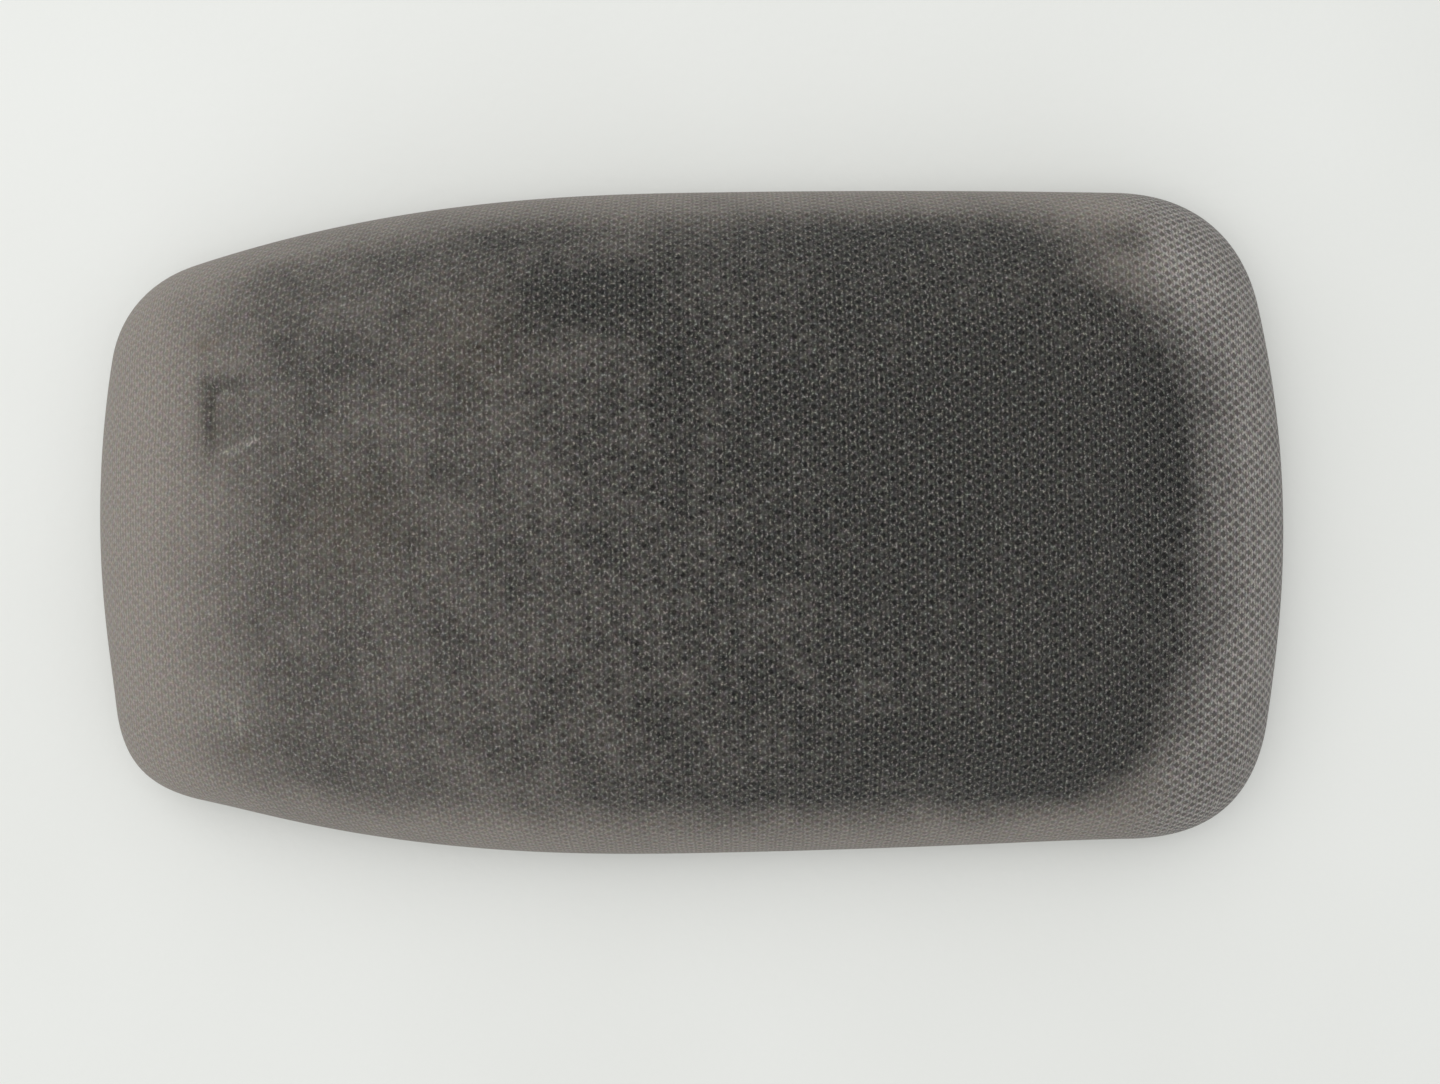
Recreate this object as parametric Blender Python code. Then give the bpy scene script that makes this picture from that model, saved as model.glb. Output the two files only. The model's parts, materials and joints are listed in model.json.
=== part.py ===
"""A padded console armrest lid with its hinge and latch, closed and lying on its underside.

The frame is +X to the hinge end, +Z up, with the origin under the middle of the lid, in metres.
The soft top is four nested shells: cloth, foam, a plastic tray, and a recessed inner panel.
The hinge and the latch sit in the recess, so nothing reaches lower than the rubber bumpers.
"""

import math

import bmesh
import bpy
from mathutils import Matrix, Vector

# Driving dimensions of the lid.
LENGTH = 0.335
WIDTH = 0.187
HEIGHT = 0.062

# The outline in plan: tapered sides, bowed ends, and a blend at each corner.
FRONT_TAPER = 0.0282
FRONT_TAPER_POWER = 2.4
REAR_TAPER = 0.0042
END_BOW_RADIUS = 0.28
FRONT_CORNER = 0.018
REAR_CORNER = 0.031

# The crown: flat in the middle, then a rounded fall to the edge, gentlest to the front.
CROWN_X = 0.008
PLATEAU = 0.4
FRONT_CROWN_POWER = 2.1
REAR_CROWN_POWER = 1.5
OUTLINE_POINTS = 48
CORNER_CROWDING = 0.55
OUTER_STEPS = 7
INNER_STEPS = 5

# Fits and walls.
GAP = 0.0003
CLOTH = 0.0018
HEM = 0.0015
SHELL_WALL = 0.0025
PANEL_WALL = 0.0022
STEEL = 0.002

# Heights above the surface that the lid rests on.
BUMPER_STAND = 0.001
FLANGE_TOP = BUMPER_STAND + 0.0018
HEM_BOTTOM = FLANGE_TOP + GAP
HEM_TOP = HEM_BOTTOM + HEM
RIM_BOTTOM = HEM_TOP + GAP
RIM_TOP = RIM_BOTTOM + SHELL_WALL
CLOTH_SPRING = 0.009
SHELL_SPRING = 0.014
SHELL_TOP = 0.0357
PANEL_FLOOR = 0.014
PANEL_TOP = PANEL_FLOOR + 0.0024

# Distances in from the outline.
SHELL_INSET = 0.0105
SHELL_INNER_INSET = SHELL_INSET + SHELL_WALL
HEM_INSET = 0.013
FLANGE_INSET = 0.007
PANEL_INSET = 0.014
PANEL_INNER_INSET = PANEL_INSET + PANEL_WALL
PANEL_DRAFT = 0.0012
PANEL_CORNER = 0.0028
BUMPER_INSET = 0.0108

# Hinge at the rear: a base that bolts to the console and a leaf that carries the lid.
HINGE_X = 0.130
HINGE_Z = 0.008
EAR_RADIUS = 0.0054
BASE_FRONT_X = 0.092
BASE_HALF_WIDTH = 0.039
BASE_BOLTS = [(0.1, -0.022), (0.1, 0.022), (0.117, -0.022), (0.117, 0.022)]
BASE_BOLT_RADIUS = 0.00325
LEAF_FRONT_X = 0.092
LEAF_REAR_X = 0.121
LEAF_HALF_WIDTH = 0.034
LEAF_TOP = PANEL_FLOOR - GAP
LEAF_BOTTOM = LEAF_TOP - STEEL
LEAF_SCREWS = [(0.0985, -0.026), (0.0985, 0.026), (0.1145, -0.026), (0.1145, 0.026)]
PIN_RADIUS = 0.002
PIN_HALF_LENGTH = 0.043
BUSHING_RADIUS = 0.0032
BUSHING_FLANGE_RADIUS = 0.0045
BUSHING_FLANGE = 0.001
CLIP_RADIUS = 0.0041
CLIP_THICKNESS = 0.001
SPRING_RADIUS = 0.005
SPRING_BORE = 0.0033
SPRING_START_Y = 0.007
SPRING_END_Y = 0.029

# Latch at the front: a sprung lever between the cheeks of a small housing.
LATCH_X = -0.126
LATCH_Z = 0.008
LATCH_HALF_WIDTH = 0.015
CHEEK_RADIUS = 0.0042
CHEEK_INNER_Y = 0.0205
CHEEK_OUTER_Y = 0.023
HOUSING_FRONT_X = -0.1185
HOUSING_REAR_X = -0.100
HOUSING_HALF_WIDTH = 0.027
HOUSING_TOP = PANEL_FLOOR - GAP
HOUSING_BOTTOM = HOUSING_TOP - 0.002
LATCH_SCREWS = [(-0.109, -0.017), (-0.109, 0.017)]
LATCH_PIN_RADIUS = 0.0015
LATCH_PIN_HALF_LENGTH = 0.0245
LATCH_SPRING_RADIUS = 0.0036

# Screws, as head radius, head height, shank radius and the height of the tip.
PANEL_SCREW_ROWS = [(-0.102, 0.046), (0.0, 0.062), (0.096, 0.058)]
PANEL_SCREWS = [(x, side * y) for x, y in PANEL_SCREW_ROWS for side in (-1, 1)]
PANEL_SCREW = (0.0034, 0.0020, 0.0016, 0.0262)
LEAF_SCREW = (0.0042, 0.0024, 0.0020, 0.0275)
BOSS_WALL = 0.0021
BOSS_CLEARANCE = 0.0012

# Ribs under the tray's top.
RIB_THICKNESS = 0.002
RIB_BOTTOM = 0.022
RIB_TOP = SHELL_TOP - SHELL_WALL + 0.0006
LONG_RIB_Y = 0.026
LONG_RIB_REACH = 0.086
CROSS_RIB_XS = (-0.066, 0.0, 0.066)
CROSS_RIB_REACH = 0.042

ROUND_SIDES = 20
HOLE_SIDES = 14
THROUGH = 0.004

# Colour, roughness and metallic value of each material.
FINISHES = {
    "cloth": ((0.115, 0.105, 0.097), 0.95, 0.0),
    "foam": ((0.62, 0.56, 0.40), 0.95, 0.0),
    "shell_plastic": ((0.022, 0.022, 0.024), 0.55, 0.0),
    "panel_plastic": ((0.040, 0.039, 0.038), 0.62, 0.0),
    "latch_plastic": ((0.030, 0.030, 0.031), 0.45, 0.0),
    "zinc_steel": ((0.56, 0.55, 0.50), 0.38, 1.0),
    "spring_steel": ((0.24, 0.24, 0.25), 0.32, 1.0),
    "black_screw": ((0.05, 0.05, 0.052), 0.42, 1.0),
    "nylon": ((0.72, 0.70, 0.64), 0.50, 0.0),
    "rubber": ((0.020, 0.020, 0.020), 0.80, 0.0),
}


# ---------------------------------------------------------------- scene helpers


def clear_scene():
    for obj in list(bpy.data.objects):
        bpy.data.objects.remove(obj, do_unlink=True)


def material(name, finish):
    colour, roughness, metallic = FINISHES[finish]
    made = bpy.data.materials.new(name)
    made.use_nodes = True
    shader = made.node_tree.nodes["Principled BSDF"]
    shader.inputs["Base Color"].default_value = (*colour, 1.0)
    shader.inputs["Roughness"].default_value = roughness
    shader.inputs["Metallic"].default_value = metallic
    made.diffuse_color = (*colour, 1.0)
    return made


def object_from(name, shape):
    """An object that holds this bmesh, with its faces turned outwards."""
    bmesh.ops.recalc_face_normals(shape, faces=shape.faces)
    mesh = bpy.data.meshes.new(name)
    shape.to_mesh(mesh)
    shape.free()
    obj = bpy.data.objects.new(name, mesh)
    bpy.context.scene.collection.objects.link(obj)
    return obj


def finished(obj, finish, parent=None, smooth_degrees=40):
    """Gives a piece its material, its shading and the pivot that carries it."""
    if not obj.data.materials:
        obj.data.materials.append(material(obj.name, finish))
    obj.data.shade_smooth()
    obj.data.set_sharp_from_angle(angle=math.radians(smooth_degrees))
    if parent:
        obj.parent = parent
        obj.matrix_parent_inverse = Matrix.Translation(-world_place(parent))
    return obj


def world_place(empty):
    place = empty.location.copy()
    while empty.parent:
        empty = empty.parent
        place += empty.location
    return place


def pivot(name, place, parent=None):
    """An empty on a joint's axis, at a place given in the world."""
    empty = bpy.data.objects.new(name, None)
    bpy.context.scene.collection.objects.link(empty)
    empty.location = Vector(place) - (world_place(parent) if parent else Vector())
    empty.parent = parent
    return empty


def combine(target, tool, operation):
    """Adds or cuts a tool with an exact Boolean, and hides the tool."""
    tool.hide_render = True
    tool.display_type = "WIRE"
    modifier = target.modifiers.new(f"{operation.lower()} {tool.name}", "BOOLEAN")
    modifier.operation = operation
    modifier.object = tool
    modifier.solver = "EXACT"


# ---------------------------------------------------------------- simple solids


def prism(name, outline, axis, low, high):
    """A polygon extruded along an axis. Its points are (x, z) for axis Y and (x, y) for axis Z."""
    shape = bmesh.new()
    if axis == "Y":
        points = [(x, low, z) for x, z in outline]
        run = Vector((0, high - low, 0))
    else:
        points = [(x, y, low) for x, y in outline]
        run = Vector((0, 0, high - low))
    face = shape.faces.new([shape.verts.new(point) for point in points])
    grown = bmesh.ops.extrude_face_region(shape, geom=[face])
    moved = [item for item in grown["geom"] if isinstance(item, bmesh.types.BMVert)]
    bmesh.ops.translate(shape, verts=moved, vec=run)
    return object_from(name, shape)


def box(name, low, high):
    outline = [(low[0], low[1]), (high[0], low[1]), (high[0], high[1]), (low[0], high[1])]
    return prism(name, outline, "Z", low[2], high[2])


def arc(centre, radius, start, end, steps):
    """Points along an arc, from one angle in degrees to another."""
    angles = [math.radians(start + (end - start) * step / steps) for step in range(steps + 1)]
    return [(centre[0] + radius * math.cos(a), centre[1] + radius * math.sin(a)) for a in angles]


def rod(name, axis, place, radius, low, high, sides=ROUND_SIDES):
    """A cylinder along Y or Z. Place gives its other two coordinates."""
    ring = arc(place, radius, 0, 360, sides)[:-1]
    return prism(name, ring, axis, low, high)


def turned(name, profile, axis, sides=ROUND_SIDES):
    """A closed (radius, height) profile spun about an axis through the origin."""
    shape = bmesh.new()
    if axis == "Y":
        points = [(radius, height, 0) for radius, height in profile]
        direction = (0, 1, 0)
    else:
        points = [(radius, 0, height) for radius, height in profile]
        direction = (0, 0, 1)
    rim = [shape.verts.new(point) for point in points]
    edges = [shape.edges.new((a, b)) for a, b in zip(rim, rim[1:])]
    if min(radius for radius, _ in profile) > 0:
        edges.append(shape.edges.new((rim[-1], rim[0])))
    bmesh.ops.spin(
        shape,
        geom=rim + edges,
        axis=direction,
        cent=(0, 0, 0),
        angle=math.tau,
        steps=sides,
        use_merge=True,
    )
    bmesh.ops.remove_doubles(shape, verts=shape.verts, dist=1e-6)
    return object_from(name, shape)


# ---------------------------------------------------------------- the lid's form


def half_width(x):
    """Half of the width at x, leaving out the corners."""
    share = abs(x) / (LENGTH / 2)
    if x > 0:
        return WIDTH / 2 - REAR_TAPER * share**2
    return WIDTH / 2 - FRONT_TAPER * share**FRONT_TAPER_POWER


def edge_distance(x, y):
    """How far a point in plan is inside the outline, with the sides and ends blended at the corners."""
    side = half_width(x) - abs(y)
    end = LENGTH / 2 - y * y / (2 * END_BOW_RADIUS) - abs(x)
    corner = REAR_CORNER if x > 0 else FRONT_CORNER
    overlap = max(corner - abs(side - end), 0) / corner
    return min(side, end) - corner * overlap**2 / 4


def reach(direction, inset):
    """How many times its direction a ray from the crown runs before it is this far inside the outline."""
    low, high = 0.0, 2.0
    for _ in range(40):
        middle = (low + high) / 2
        inside = edge_distance(CROWN_X + middle * direction[0], middle * direction[1]) > inset
        low, high = (middle, high) if inside else (low, middle)
    return low


def directions():
    """Rays from the crown's centre, closest together at the four corners."""
    rays = []
    for step in range(OUTLINE_POINTS):
        turn = math.tau * step / OUTLINE_POINTS
        turn += CORNER_CROWDING * math.sin(4 * turn) / 4
        rays.append((LENGTH / 2 * math.cos(turn), WIDTH / 2 * math.sin(turn)))
    return rays


def edge_loop(inset, height):
    """A level loop at a distance in from the outline."""
    loop = []
    for across, along in directions():
        scale = reach((across, along), inset)
        loop.append((CROWN_X + scale * across, scale * along, height))
    return loop


def crown_fall(share, direction):
    """The height left, from 1 to 0, at this share of the way from the flat top to the edge."""
    rearward = direction[0] / math.hypot(direction[0], direction[1] * LENGTH / WIDTH)
    mean_power = (REAR_CROWN_POWER + FRONT_CROWN_POWER) / 2
    power = mean_power + rearward * (REAR_CROWN_POWER - FRONT_CROWN_POWER) / 2
    return math.sqrt(1 - min(max(share, 0.0), 1.0) ** power)


def dome_loops(inset, spring, top, steps):
    """Loops from the flat top down the crown's fall to its springing height at the edge."""
    loops = []
    for step in range(steps + 1):
        share = math.sin(math.pi / 2 * step / steps)
        loop = []
        for direction in directions():
            flat = PLATEAU * reach(direction, 0.0)
            scale = flat + (reach(direction, inset) - flat) * share
            height = spring + (top - spring) * crown_fall(share, direction)
            loop.append((CROWN_X + scale * direction[0], scale * direction[1], height))
        loops.append(loop)
    return loops


def dome_height(x, y, inset, spring, top):
    """The height of such a dome over a point in plan."""
    direction = (x - CROWN_X, y)
    flat = PLATEAU * reach(direction, 0.0)
    share = (1 - flat) / (reach(direction, inset) - flat)
    return spring + (top - spring) * crown_fall(share, direction)


def loft(name, loops):
    """A closed solid through loops of equal length, capped over the first and the last."""
    shape = bmesh.new()
    rings = [[shape.verts.new(point) for point in loop] for loop in loops]
    for upper, lower in zip(rings, rings[1:]):
        for i, start in enumerate(upper):
            j = (i + 1) % len(upper)
            shape.faces.new((start, lower[i], lower[j], upper[j]))
    shape.faces.new(rings[0])
    shape.faces.new(rings[-1][::-1])
    return object_from(name, shape)


# ---------------------------------------------------------------- the soft top


def fabric_cover(lid):
    """The cloth skin: over the crown, down the sides, and folded in under the tray's rim as a hem."""
    outside = dome_loops(0.0, CLOTH_SPRING, HEIGHT, OUTER_STEPS)
    fold = [
        edge_loop(0.0, HEM_BOTTOM + 0.0032),
        edge_loop(0.0010, HEM_BOTTOM + 0.0009),
        edge_loop(0.0032, HEM_BOTTOM),
        edge_loop(HEM_INSET, HEM_BOTTOM),
        edge_loop(HEM_INSET, HEM_TOP),
        edge_loop(CLOTH, HEM_TOP),
    ]
    inside = dome_loops(CLOTH, CLOTH_SPRING, HEIGHT - CLOTH, OUTER_STEPS)
    return finished(loft("fabric_cover", outside + fold + inside[::-1]), "cloth", lid)


def foam_pad(lid):
    """The moulded foam, which fills the space between the cloth and the tray."""
    skin = CLOTH + GAP
    outside = dome_loops(skin, CLOTH_SPRING, HEIGHT - skin, OUTER_STEPS)
    foot = [
        edge_loop(skin, RIM_TOP + GAP),
        edge_loop(SHELL_INSET - GAP, RIM_TOP + GAP),
    ]
    inside = dome_loops(SHELL_INSET - GAP, SHELL_SPRING, SHELL_TOP + GAP, INNER_STEPS)
    return finished(loft("foam_pad", outside + foot + inside[::-1]), "foam", lid)


def shell_underside(x, y):
    return dome_height(x, y, SHELL_INNER_INSET, SHELL_SPRING, SHELL_TOP - SHELL_WALL)


def add_ribs(shell):
    long_low = (CROWN_X - LONG_RIB_REACH, CROWN_X + LONG_RIB_REACH)
    for side in (-1, 1):
        low = (long_low[0], side * LONG_RIB_Y - RIB_THICKNESS / 2, RIB_BOTTOM)
        high = (long_low[1], side * LONG_RIB_Y + RIB_THICKNESS / 2, RIB_TOP)
        combine(shell, box("long_rib", low, high), "UNION")
    for x in CROSS_RIB_XS:
        low = (x - RIB_THICKNESS / 2, -CROSS_RIB_REACH, RIB_BOTTOM)
        high = (x + RIB_THICKNESS / 2, CROSS_RIB_REACH, RIB_TOP)
        combine(shell, box("cross_rib", low, high), "UNION")


def add_boss(shell, place, shank_radius, tip):
    """A boss that hangs from the tray to the inner panel, with a blind pilot hole for one screw."""
    hole_radius = shank_radius + GAP
    top = shell_underside(*place) + BOSS_CLEARANCE / 2
    boss = rod("boss", "Z", place, hole_radius + BOSS_WALL, PANEL_TOP + GAP, top, HOLE_SIDES)
    hole = rod("pilot_hole", "Z", place, hole_radius, PANEL_TOP - THROUGH, tip + GAP, HOLE_SIDES)
    combine(shell, boss, "UNION")
    combine(shell, hole, "DIFFERENCE")


def lid_shell(lid):
    """The plastic tray: a domed top, a straight wall, and an outward rim that the hem is fixed to."""
    outside = dome_loops(SHELL_INSET, SHELL_SPRING, SHELL_TOP, INNER_STEPS)
    rim = [
        edge_loop(SHELL_INSET, RIM_TOP),
        edge_loop(CLOTH + GAP, RIM_TOP),
        edge_loop(CLOTH + GAP, RIM_BOTTOM),
        edge_loop(SHELL_INNER_INSET, RIM_BOTTOM),
    ]
    inside = dome_loops(SHELL_INNER_INSET, SHELL_SPRING, SHELL_TOP - SHELL_WALL, INNER_STEPS)
    shell = loft("lid_shell", outside + rim + inside[::-1])
    add_ribs(shell)
    for place in PANEL_SCREWS + LATCH_SCREWS:
        add_boss(shell, place, PANEL_SCREW[2], PANEL_SCREW[3])
    for place in LEAF_SCREWS:
        add_boss(shell, place, LEAF_SCREW[2], LEAF_SCREW[3])
    return finished(shell, "shell_plastic", lid)


def bumper_places():
    """The four corners of the panel's flange, on its middle line."""
    places = {}
    for end, turn in (("front", 145), ("rear", 33)):
        for side, sign in (("left", -1), ("right", 1)):
            across = LENGTH / 2 * math.cos(math.radians(turn))
            along = sign * WIDTH / 2 * math.sin(math.radians(turn))
            scale = reach((across, along), BUMPER_INSET)
            places[f"bumper_{end}_{side}"] = (CROWN_X + scale * across, scale * along)
    return places


def inner_panel(lid):
    """The recessed lining: a flange over the hem, a drafted wall, and a floor that holds the hardware."""
    outer_foot = PANEL_INSET + PANEL_DRAFT
    inner_foot = PANEL_INNER_INSET + PANEL_DRAFT
    loops = [
        edge_loop(outer_foot + PANEL_CORNER, PANEL_TOP),
        edge_loop(outer_foot + 0.3 * PANEL_CORNER, PANEL_TOP - 0.3 * PANEL_CORNER),
        edge_loop(outer_foot, PANEL_TOP - PANEL_CORNER),
        edge_loop(PANEL_INSET, FLANGE_TOP),
        edge_loop(FLANGE_INSET, FLANGE_TOP),
        edge_loop(FLANGE_INSET, BUMPER_STAND + 0.0006),
        edge_loop(FLANGE_INSET + 0.0006, BUMPER_STAND),
        edge_loop(PANEL_INNER_INSET, BUMPER_STAND),
        edge_loop(inner_foot, PANEL_FLOOR - PANEL_CORNER),
        edge_loop(inner_foot + 0.3 * PANEL_CORNER, PANEL_FLOOR - 0.3 * PANEL_CORNER),
        edge_loop(inner_foot + PANEL_CORNER, PANEL_FLOOR),
    ]
    panel = loft("inner_panel", loops)
    for place in PANEL_SCREWS + LATCH_SCREWS:
        drill(panel, place, PANEL_SCREW[2] + GAP, PANEL_FLOOR, PANEL_TOP)
    for place in LEAF_SCREWS:
        drill(panel, place, LEAF_SCREW[2] + GAP, PANEL_FLOOR, PANEL_TOP)
    for place in bumper_places().values():
        drill(panel, place, 0.0015 + GAP, BUMPER_STAND, FLANGE_TOP)
    return finished(panel, "panel_plastic", lid)


def drill(target, place, radius, low, high):
    """A round hole along Z, right through the wall between two heights."""
    hole = rod("hole", "Z", place, radius, low - THROUGH / 2, high + THROUGH / 2, HOLE_SIDES)
    combine(target, hole, "DIFFERENCE")


def bumpers(lid):
    """Rubber feet: a chamfered head that the lid rests on, and a stud in the panel's flange."""
    head, stud = 0.0038, 0.0015
    under_flange = BUMPER_STAND - GAP
    profile = [
        (0, 0),
        (head - 0.0005, 0),
        (head, 0.0004),
        (head, under_flange),
        (stud, under_flange),
        (stud, FLANGE_TOP - GAP / 2),
        (0, FLANGE_TOP - GAP / 2),
    ]
    for name, place in bumper_places().items():
        bumper = turned(name, profile, "Z", HOLE_SIDES)
        bumper.location = (*place, 0)
        finished(bumper, "rubber", lid)


# ---------------------------------------------------------------- fasteners


def screw(name, place, under_head, size, parent, finish):
    """A pan-head screw that points up, with a cross recess in its head, which faces down."""
    head_radius, head_height, shank_radius, tip = size
    bottom = under_head - head_height
    crown = 0.35 * head_height
    profile = [
        (0, bottom),
        (0.6 * head_radius, bottom),
        (head_radius, bottom + crown),
        (head_radius, under_head),
        (shank_radius, under_head),
        (shank_radius, tip - 2 * shank_radius),
        (0, tip - GAP),
    ]
    piece = turned(name, profile, "Z", HOLE_SIDES)
    piece.location = (*place, 0)
    slot_length, slot_width, slot_depth = 0.52 * head_radius, 0.15 * head_radius, 0.55 * head_height
    for length, width in ((slot_length, slot_width), (slot_width, slot_length)):
        low = (place[0] - length, place[1] - width, bottom - GAP)
        high = (place[0] + length, place[1] + width, bottom + slot_depth)
        combine(piece, box("cross_recess", low, high), "DIFFERENCE")
    return finished(piece, finish, parent, 30)


def screws(lid):
    for number, place in enumerate(PANEL_SCREWS, 1):
        name = f"inner_panel_screw_{number}"
        screw(name, place, PANEL_FLOOR - GAP, PANEL_SCREW, lid, "black_screw")
    for number, place in enumerate(LATCH_SCREWS, 1):
        name = f"latch_housing_screw_{number}"
        screw(name, place, HOUSING_BOTTOM - GAP, PANEL_SCREW, lid, "black_screw")
    for number, place in enumerate(LEAF_SCREWS, 1):
        name = f"hinge_leaf_screw_{number}"
        screw(name, place, LEAF_BOTTOM - GAP, LEAF_SCREW, lid, "zinc_steel")


# ---------------------------------------------------------------- the hinge


def hinge_base():
    """The fixed half: a plate that bolts to the console, with an upturned ear at each side for the pin."""
    axis = (HINGE_X, HINGE_Z)
    rear = HINGE_X + EAR_RADIUS
    base = box("hinge_base", (BASE_FRONT_X, -BASE_HALF_WIDTH, 0), (rear, BASE_HALF_WIDTH, STEEL))
    ear = [(HINGE_X - 2.6 * EAR_RADIUS, STEEL / 2), (rear, STEEL / 2), *arc(axis, EAR_RADIUS, 0, 150, 9)]
    for side in (-1, 1):
        low, high = sorted((side * BASE_HALF_WIDTH, side * (BASE_HALF_WIDTH - STEEL)))
        combine(base, prism("base_ear", ear, "Y", low, high), "UNION")
    bore = rod("base_bore", "Y", axis, BUSHING_RADIUS + GAP, -2 * BASE_HALF_WIDTH, 2 * BASE_HALF_WIDTH)
    combine(base, bore, "DIFFERENCE")
    for place in BASE_BOLTS:
        drill(base, place, BASE_BOLT_RADIUS, 0, STEEL)
    return finished(base, "zinc_steel")


def hinge_leaf(lid):
    """The moving half: a plate screwed to the lid through the panel, with a downturned ear at each side."""
    axis = (HINGE_X, HINGE_Z)
    low = (LEAF_FRONT_X, -LEAF_HALF_WIDTH, LEAF_BOTTOM)
    leaf = box("hinge_leaf", low, (LEAF_REAR_X, LEAF_HALF_WIDTH, LEAF_TOP))
    top = HINGE_Z + EAR_RADIUS
    root_x = LEAF_REAR_X - 0.009
    ear = [(root_x, LEAF_BOTTOM + STEEL / 2), (root_x, top), *arc(axis, EAR_RADIUS, 90, -125, 12)]
    for side in (-1, 1):
        near, far = sorted((side * LEAF_HALF_WIDTH, side * (LEAF_HALF_WIDTH - STEEL)))
        combine(leaf, prism("leaf_ear", ear, "Y", near, far), "UNION")
    bore = rod("leaf_bore", "Y", axis, PIN_RADIUS + GAP, -2 * LEAF_HALF_WIDTH, 2 * LEAF_HALF_WIDTH)
    combine(leaf, bore, "DIFFERENCE")
    for place in LEAF_SCREWS:
        drill(leaf, place, LEAF_SCREW[2] + GAP, LEAF_BOTTOM, LEAF_TOP)
    return finished(leaf, "zinc_steel", lid)


def hinge_pin():
    """The pin, with a chamfer at each end."""
    chamfer = 0.0005
    half = PIN_HALF_LENGTH
    radius = PIN_RADIUS
    profile = [
        (0, -half),
        (radius - chamfer, -half),
        (radius, chamfer - half),
        (radius, half - chamfer),
        (radius - chamfer, half),
        (0, half),
    ]
    pin = turned("hinge_pin", profile, "Y")
    pin.location = (HINGE_X, 0, HINGE_Z)
    return finished(pin, "spring_steel")


def hinge_bushings():
    """A flanged nylon bushing in each ear of the base."""
    bore = PIN_RADIUS + GAP
    flange_start = BASE_HALF_WIDTH - STEEL - GAP - BUSHING_FLANGE
    flange_end = flange_start + BUSHING_FLANGE
    sleeve_end = BASE_HALF_WIDTH + GAP
    for name, side in (("hinge_bushing_left", -1), ("hinge_bushing_right", 1)):
        profile = [
            (bore, side * flange_start),
            (BUSHING_FLANGE_RADIUS, side * flange_start),
            (BUSHING_FLANGE_RADIUS, side * flange_end),
            (BUSHING_RADIUS, side * flange_end),
            (BUSHING_RADIUS, side * sleeve_end),
            (bore, side * sleeve_end),
        ]
        bushing = turned(name, profile, "Y")
        bushing.location = (HINGE_X, 0, HINGE_Z)
        finished(bushing, "nylon")


def hinge_clips():
    """An open retaining clip at each end of the pin."""
    low = BASE_HALF_WIDTH + 3 * GAP
    outer = arc((0, 0), CLIP_RADIUS, 40, 320, 14)
    inner = arc((0, 0), PIN_RADIUS + GAP, 320, 40, 14)
    for name, side in (("hinge_clip_left", -1), ("hinge_clip_right", 1)):
        near, far = sorted((side * low, side * (low + CLIP_THICKNESS)))
        clip = prism(name, outer + inner, "Y", near, far)
        clip.location = (HINGE_X, 0, HINGE_Z)
        finished(clip, "spring_steel")


def coil_envelope(name, bore, radius, start, end, axis, parent=None):
    """The tube that a wound torsion spring fills."""
    profile = [(bore, start), (radius, start), (radius, end), (bore, end)]
    coil = turned(name, profile, "Y")
    coil.location = axis
    return finished(coil, "spring_steel", parent)


def torsion_springs():
    """The two springs that help to lift the lid, wound round the pin between the ears."""
    axis = (HINGE_X, 0, HINGE_Z)
    for name, side in (("torsion_spring_left", -1), ("torsion_spring_right", 1)):
        start, end = sorted((side * SPRING_START_Y, side * SPRING_END_Y))
        coil_envelope(name, SPRING_BORE, SPRING_RADIUS, start, end, axis)


# ---------------------------------------------------------------- the latch


def latch_housing(lid):
    """A plate screwed to the panel's floor, with two cheeks that hold the lever's pin."""
    axis = (LATCH_X, LATCH_Z)
    low = (HOUSING_FRONT_X, -HOUSING_HALF_WIDTH, HOUSING_BOTTOM)
    housing = box("latch_housing", low, (HOUSING_REAR_X, HOUSING_HALF_WIDTH, HOUSING_TOP))
    root_x = HOUSING_FRONT_X + 0.009
    root = [(root_x, HOUSING_BOTTOM + 0.0005), (root_x, LATCH_Z + CHEEK_RADIUS)]
    cheek = [*arc(axis, CHEEK_RADIUS, 90, 290, 11), *root]
    for side in (-1, 1):
        near, far = sorted((side * CHEEK_INNER_Y, side * CHEEK_OUTER_Y))
        combine(housing, prism("cheek", cheek, "Y", near, far), "UNION")
    half = 2 * CHEEK_OUTER_Y
    bore = rod("housing_bore", "Y", axis, LATCH_PIN_RADIUS + GAP, -half, half, HOLE_SIDES)
    combine(housing, bore, "DIFFERENCE")
    for place in LATCH_SCREWS:
        drill(housing, place, PANEL_SCREW[2] + GAP, HOUSING_BOTTOM, HOUSING_TOP)
    return finished(housing, "latch_plastic", lid)


def lever_outline():
    """The lever seen from the side, about its pin: a finger paddle in front, a hook below and behind."""
    barrel = 0.0040
    paddle_tip, paddle_top, paddle_bottom = -0.0205, -0.0026, -0.0052
    hook_nose, hook_bottom, hook_top = 0.0068, -0.0054, -0.0032
    return [
        (paddle_tip, paddle_bottom),
        (-0.0120, paddle_bottom + 0.0008),
        (-0.0045, hook_bottom + 0.0008),
        (0.0005, hook_bottom),
        (hook_nose - 0.0010, hook_bottom),
        (hook_nose, hook_bottom + 0.0008),
        (0.0045, hook_top),
        *arc((0, 0), barrel, -30, 175, 12),
        (-0.0120, paddle_top + 0.0014),
        (paddle_tip + 0.0008, paddle_top),
        (paddle_tip, paddle_top - 0.0006),
    ]


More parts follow.
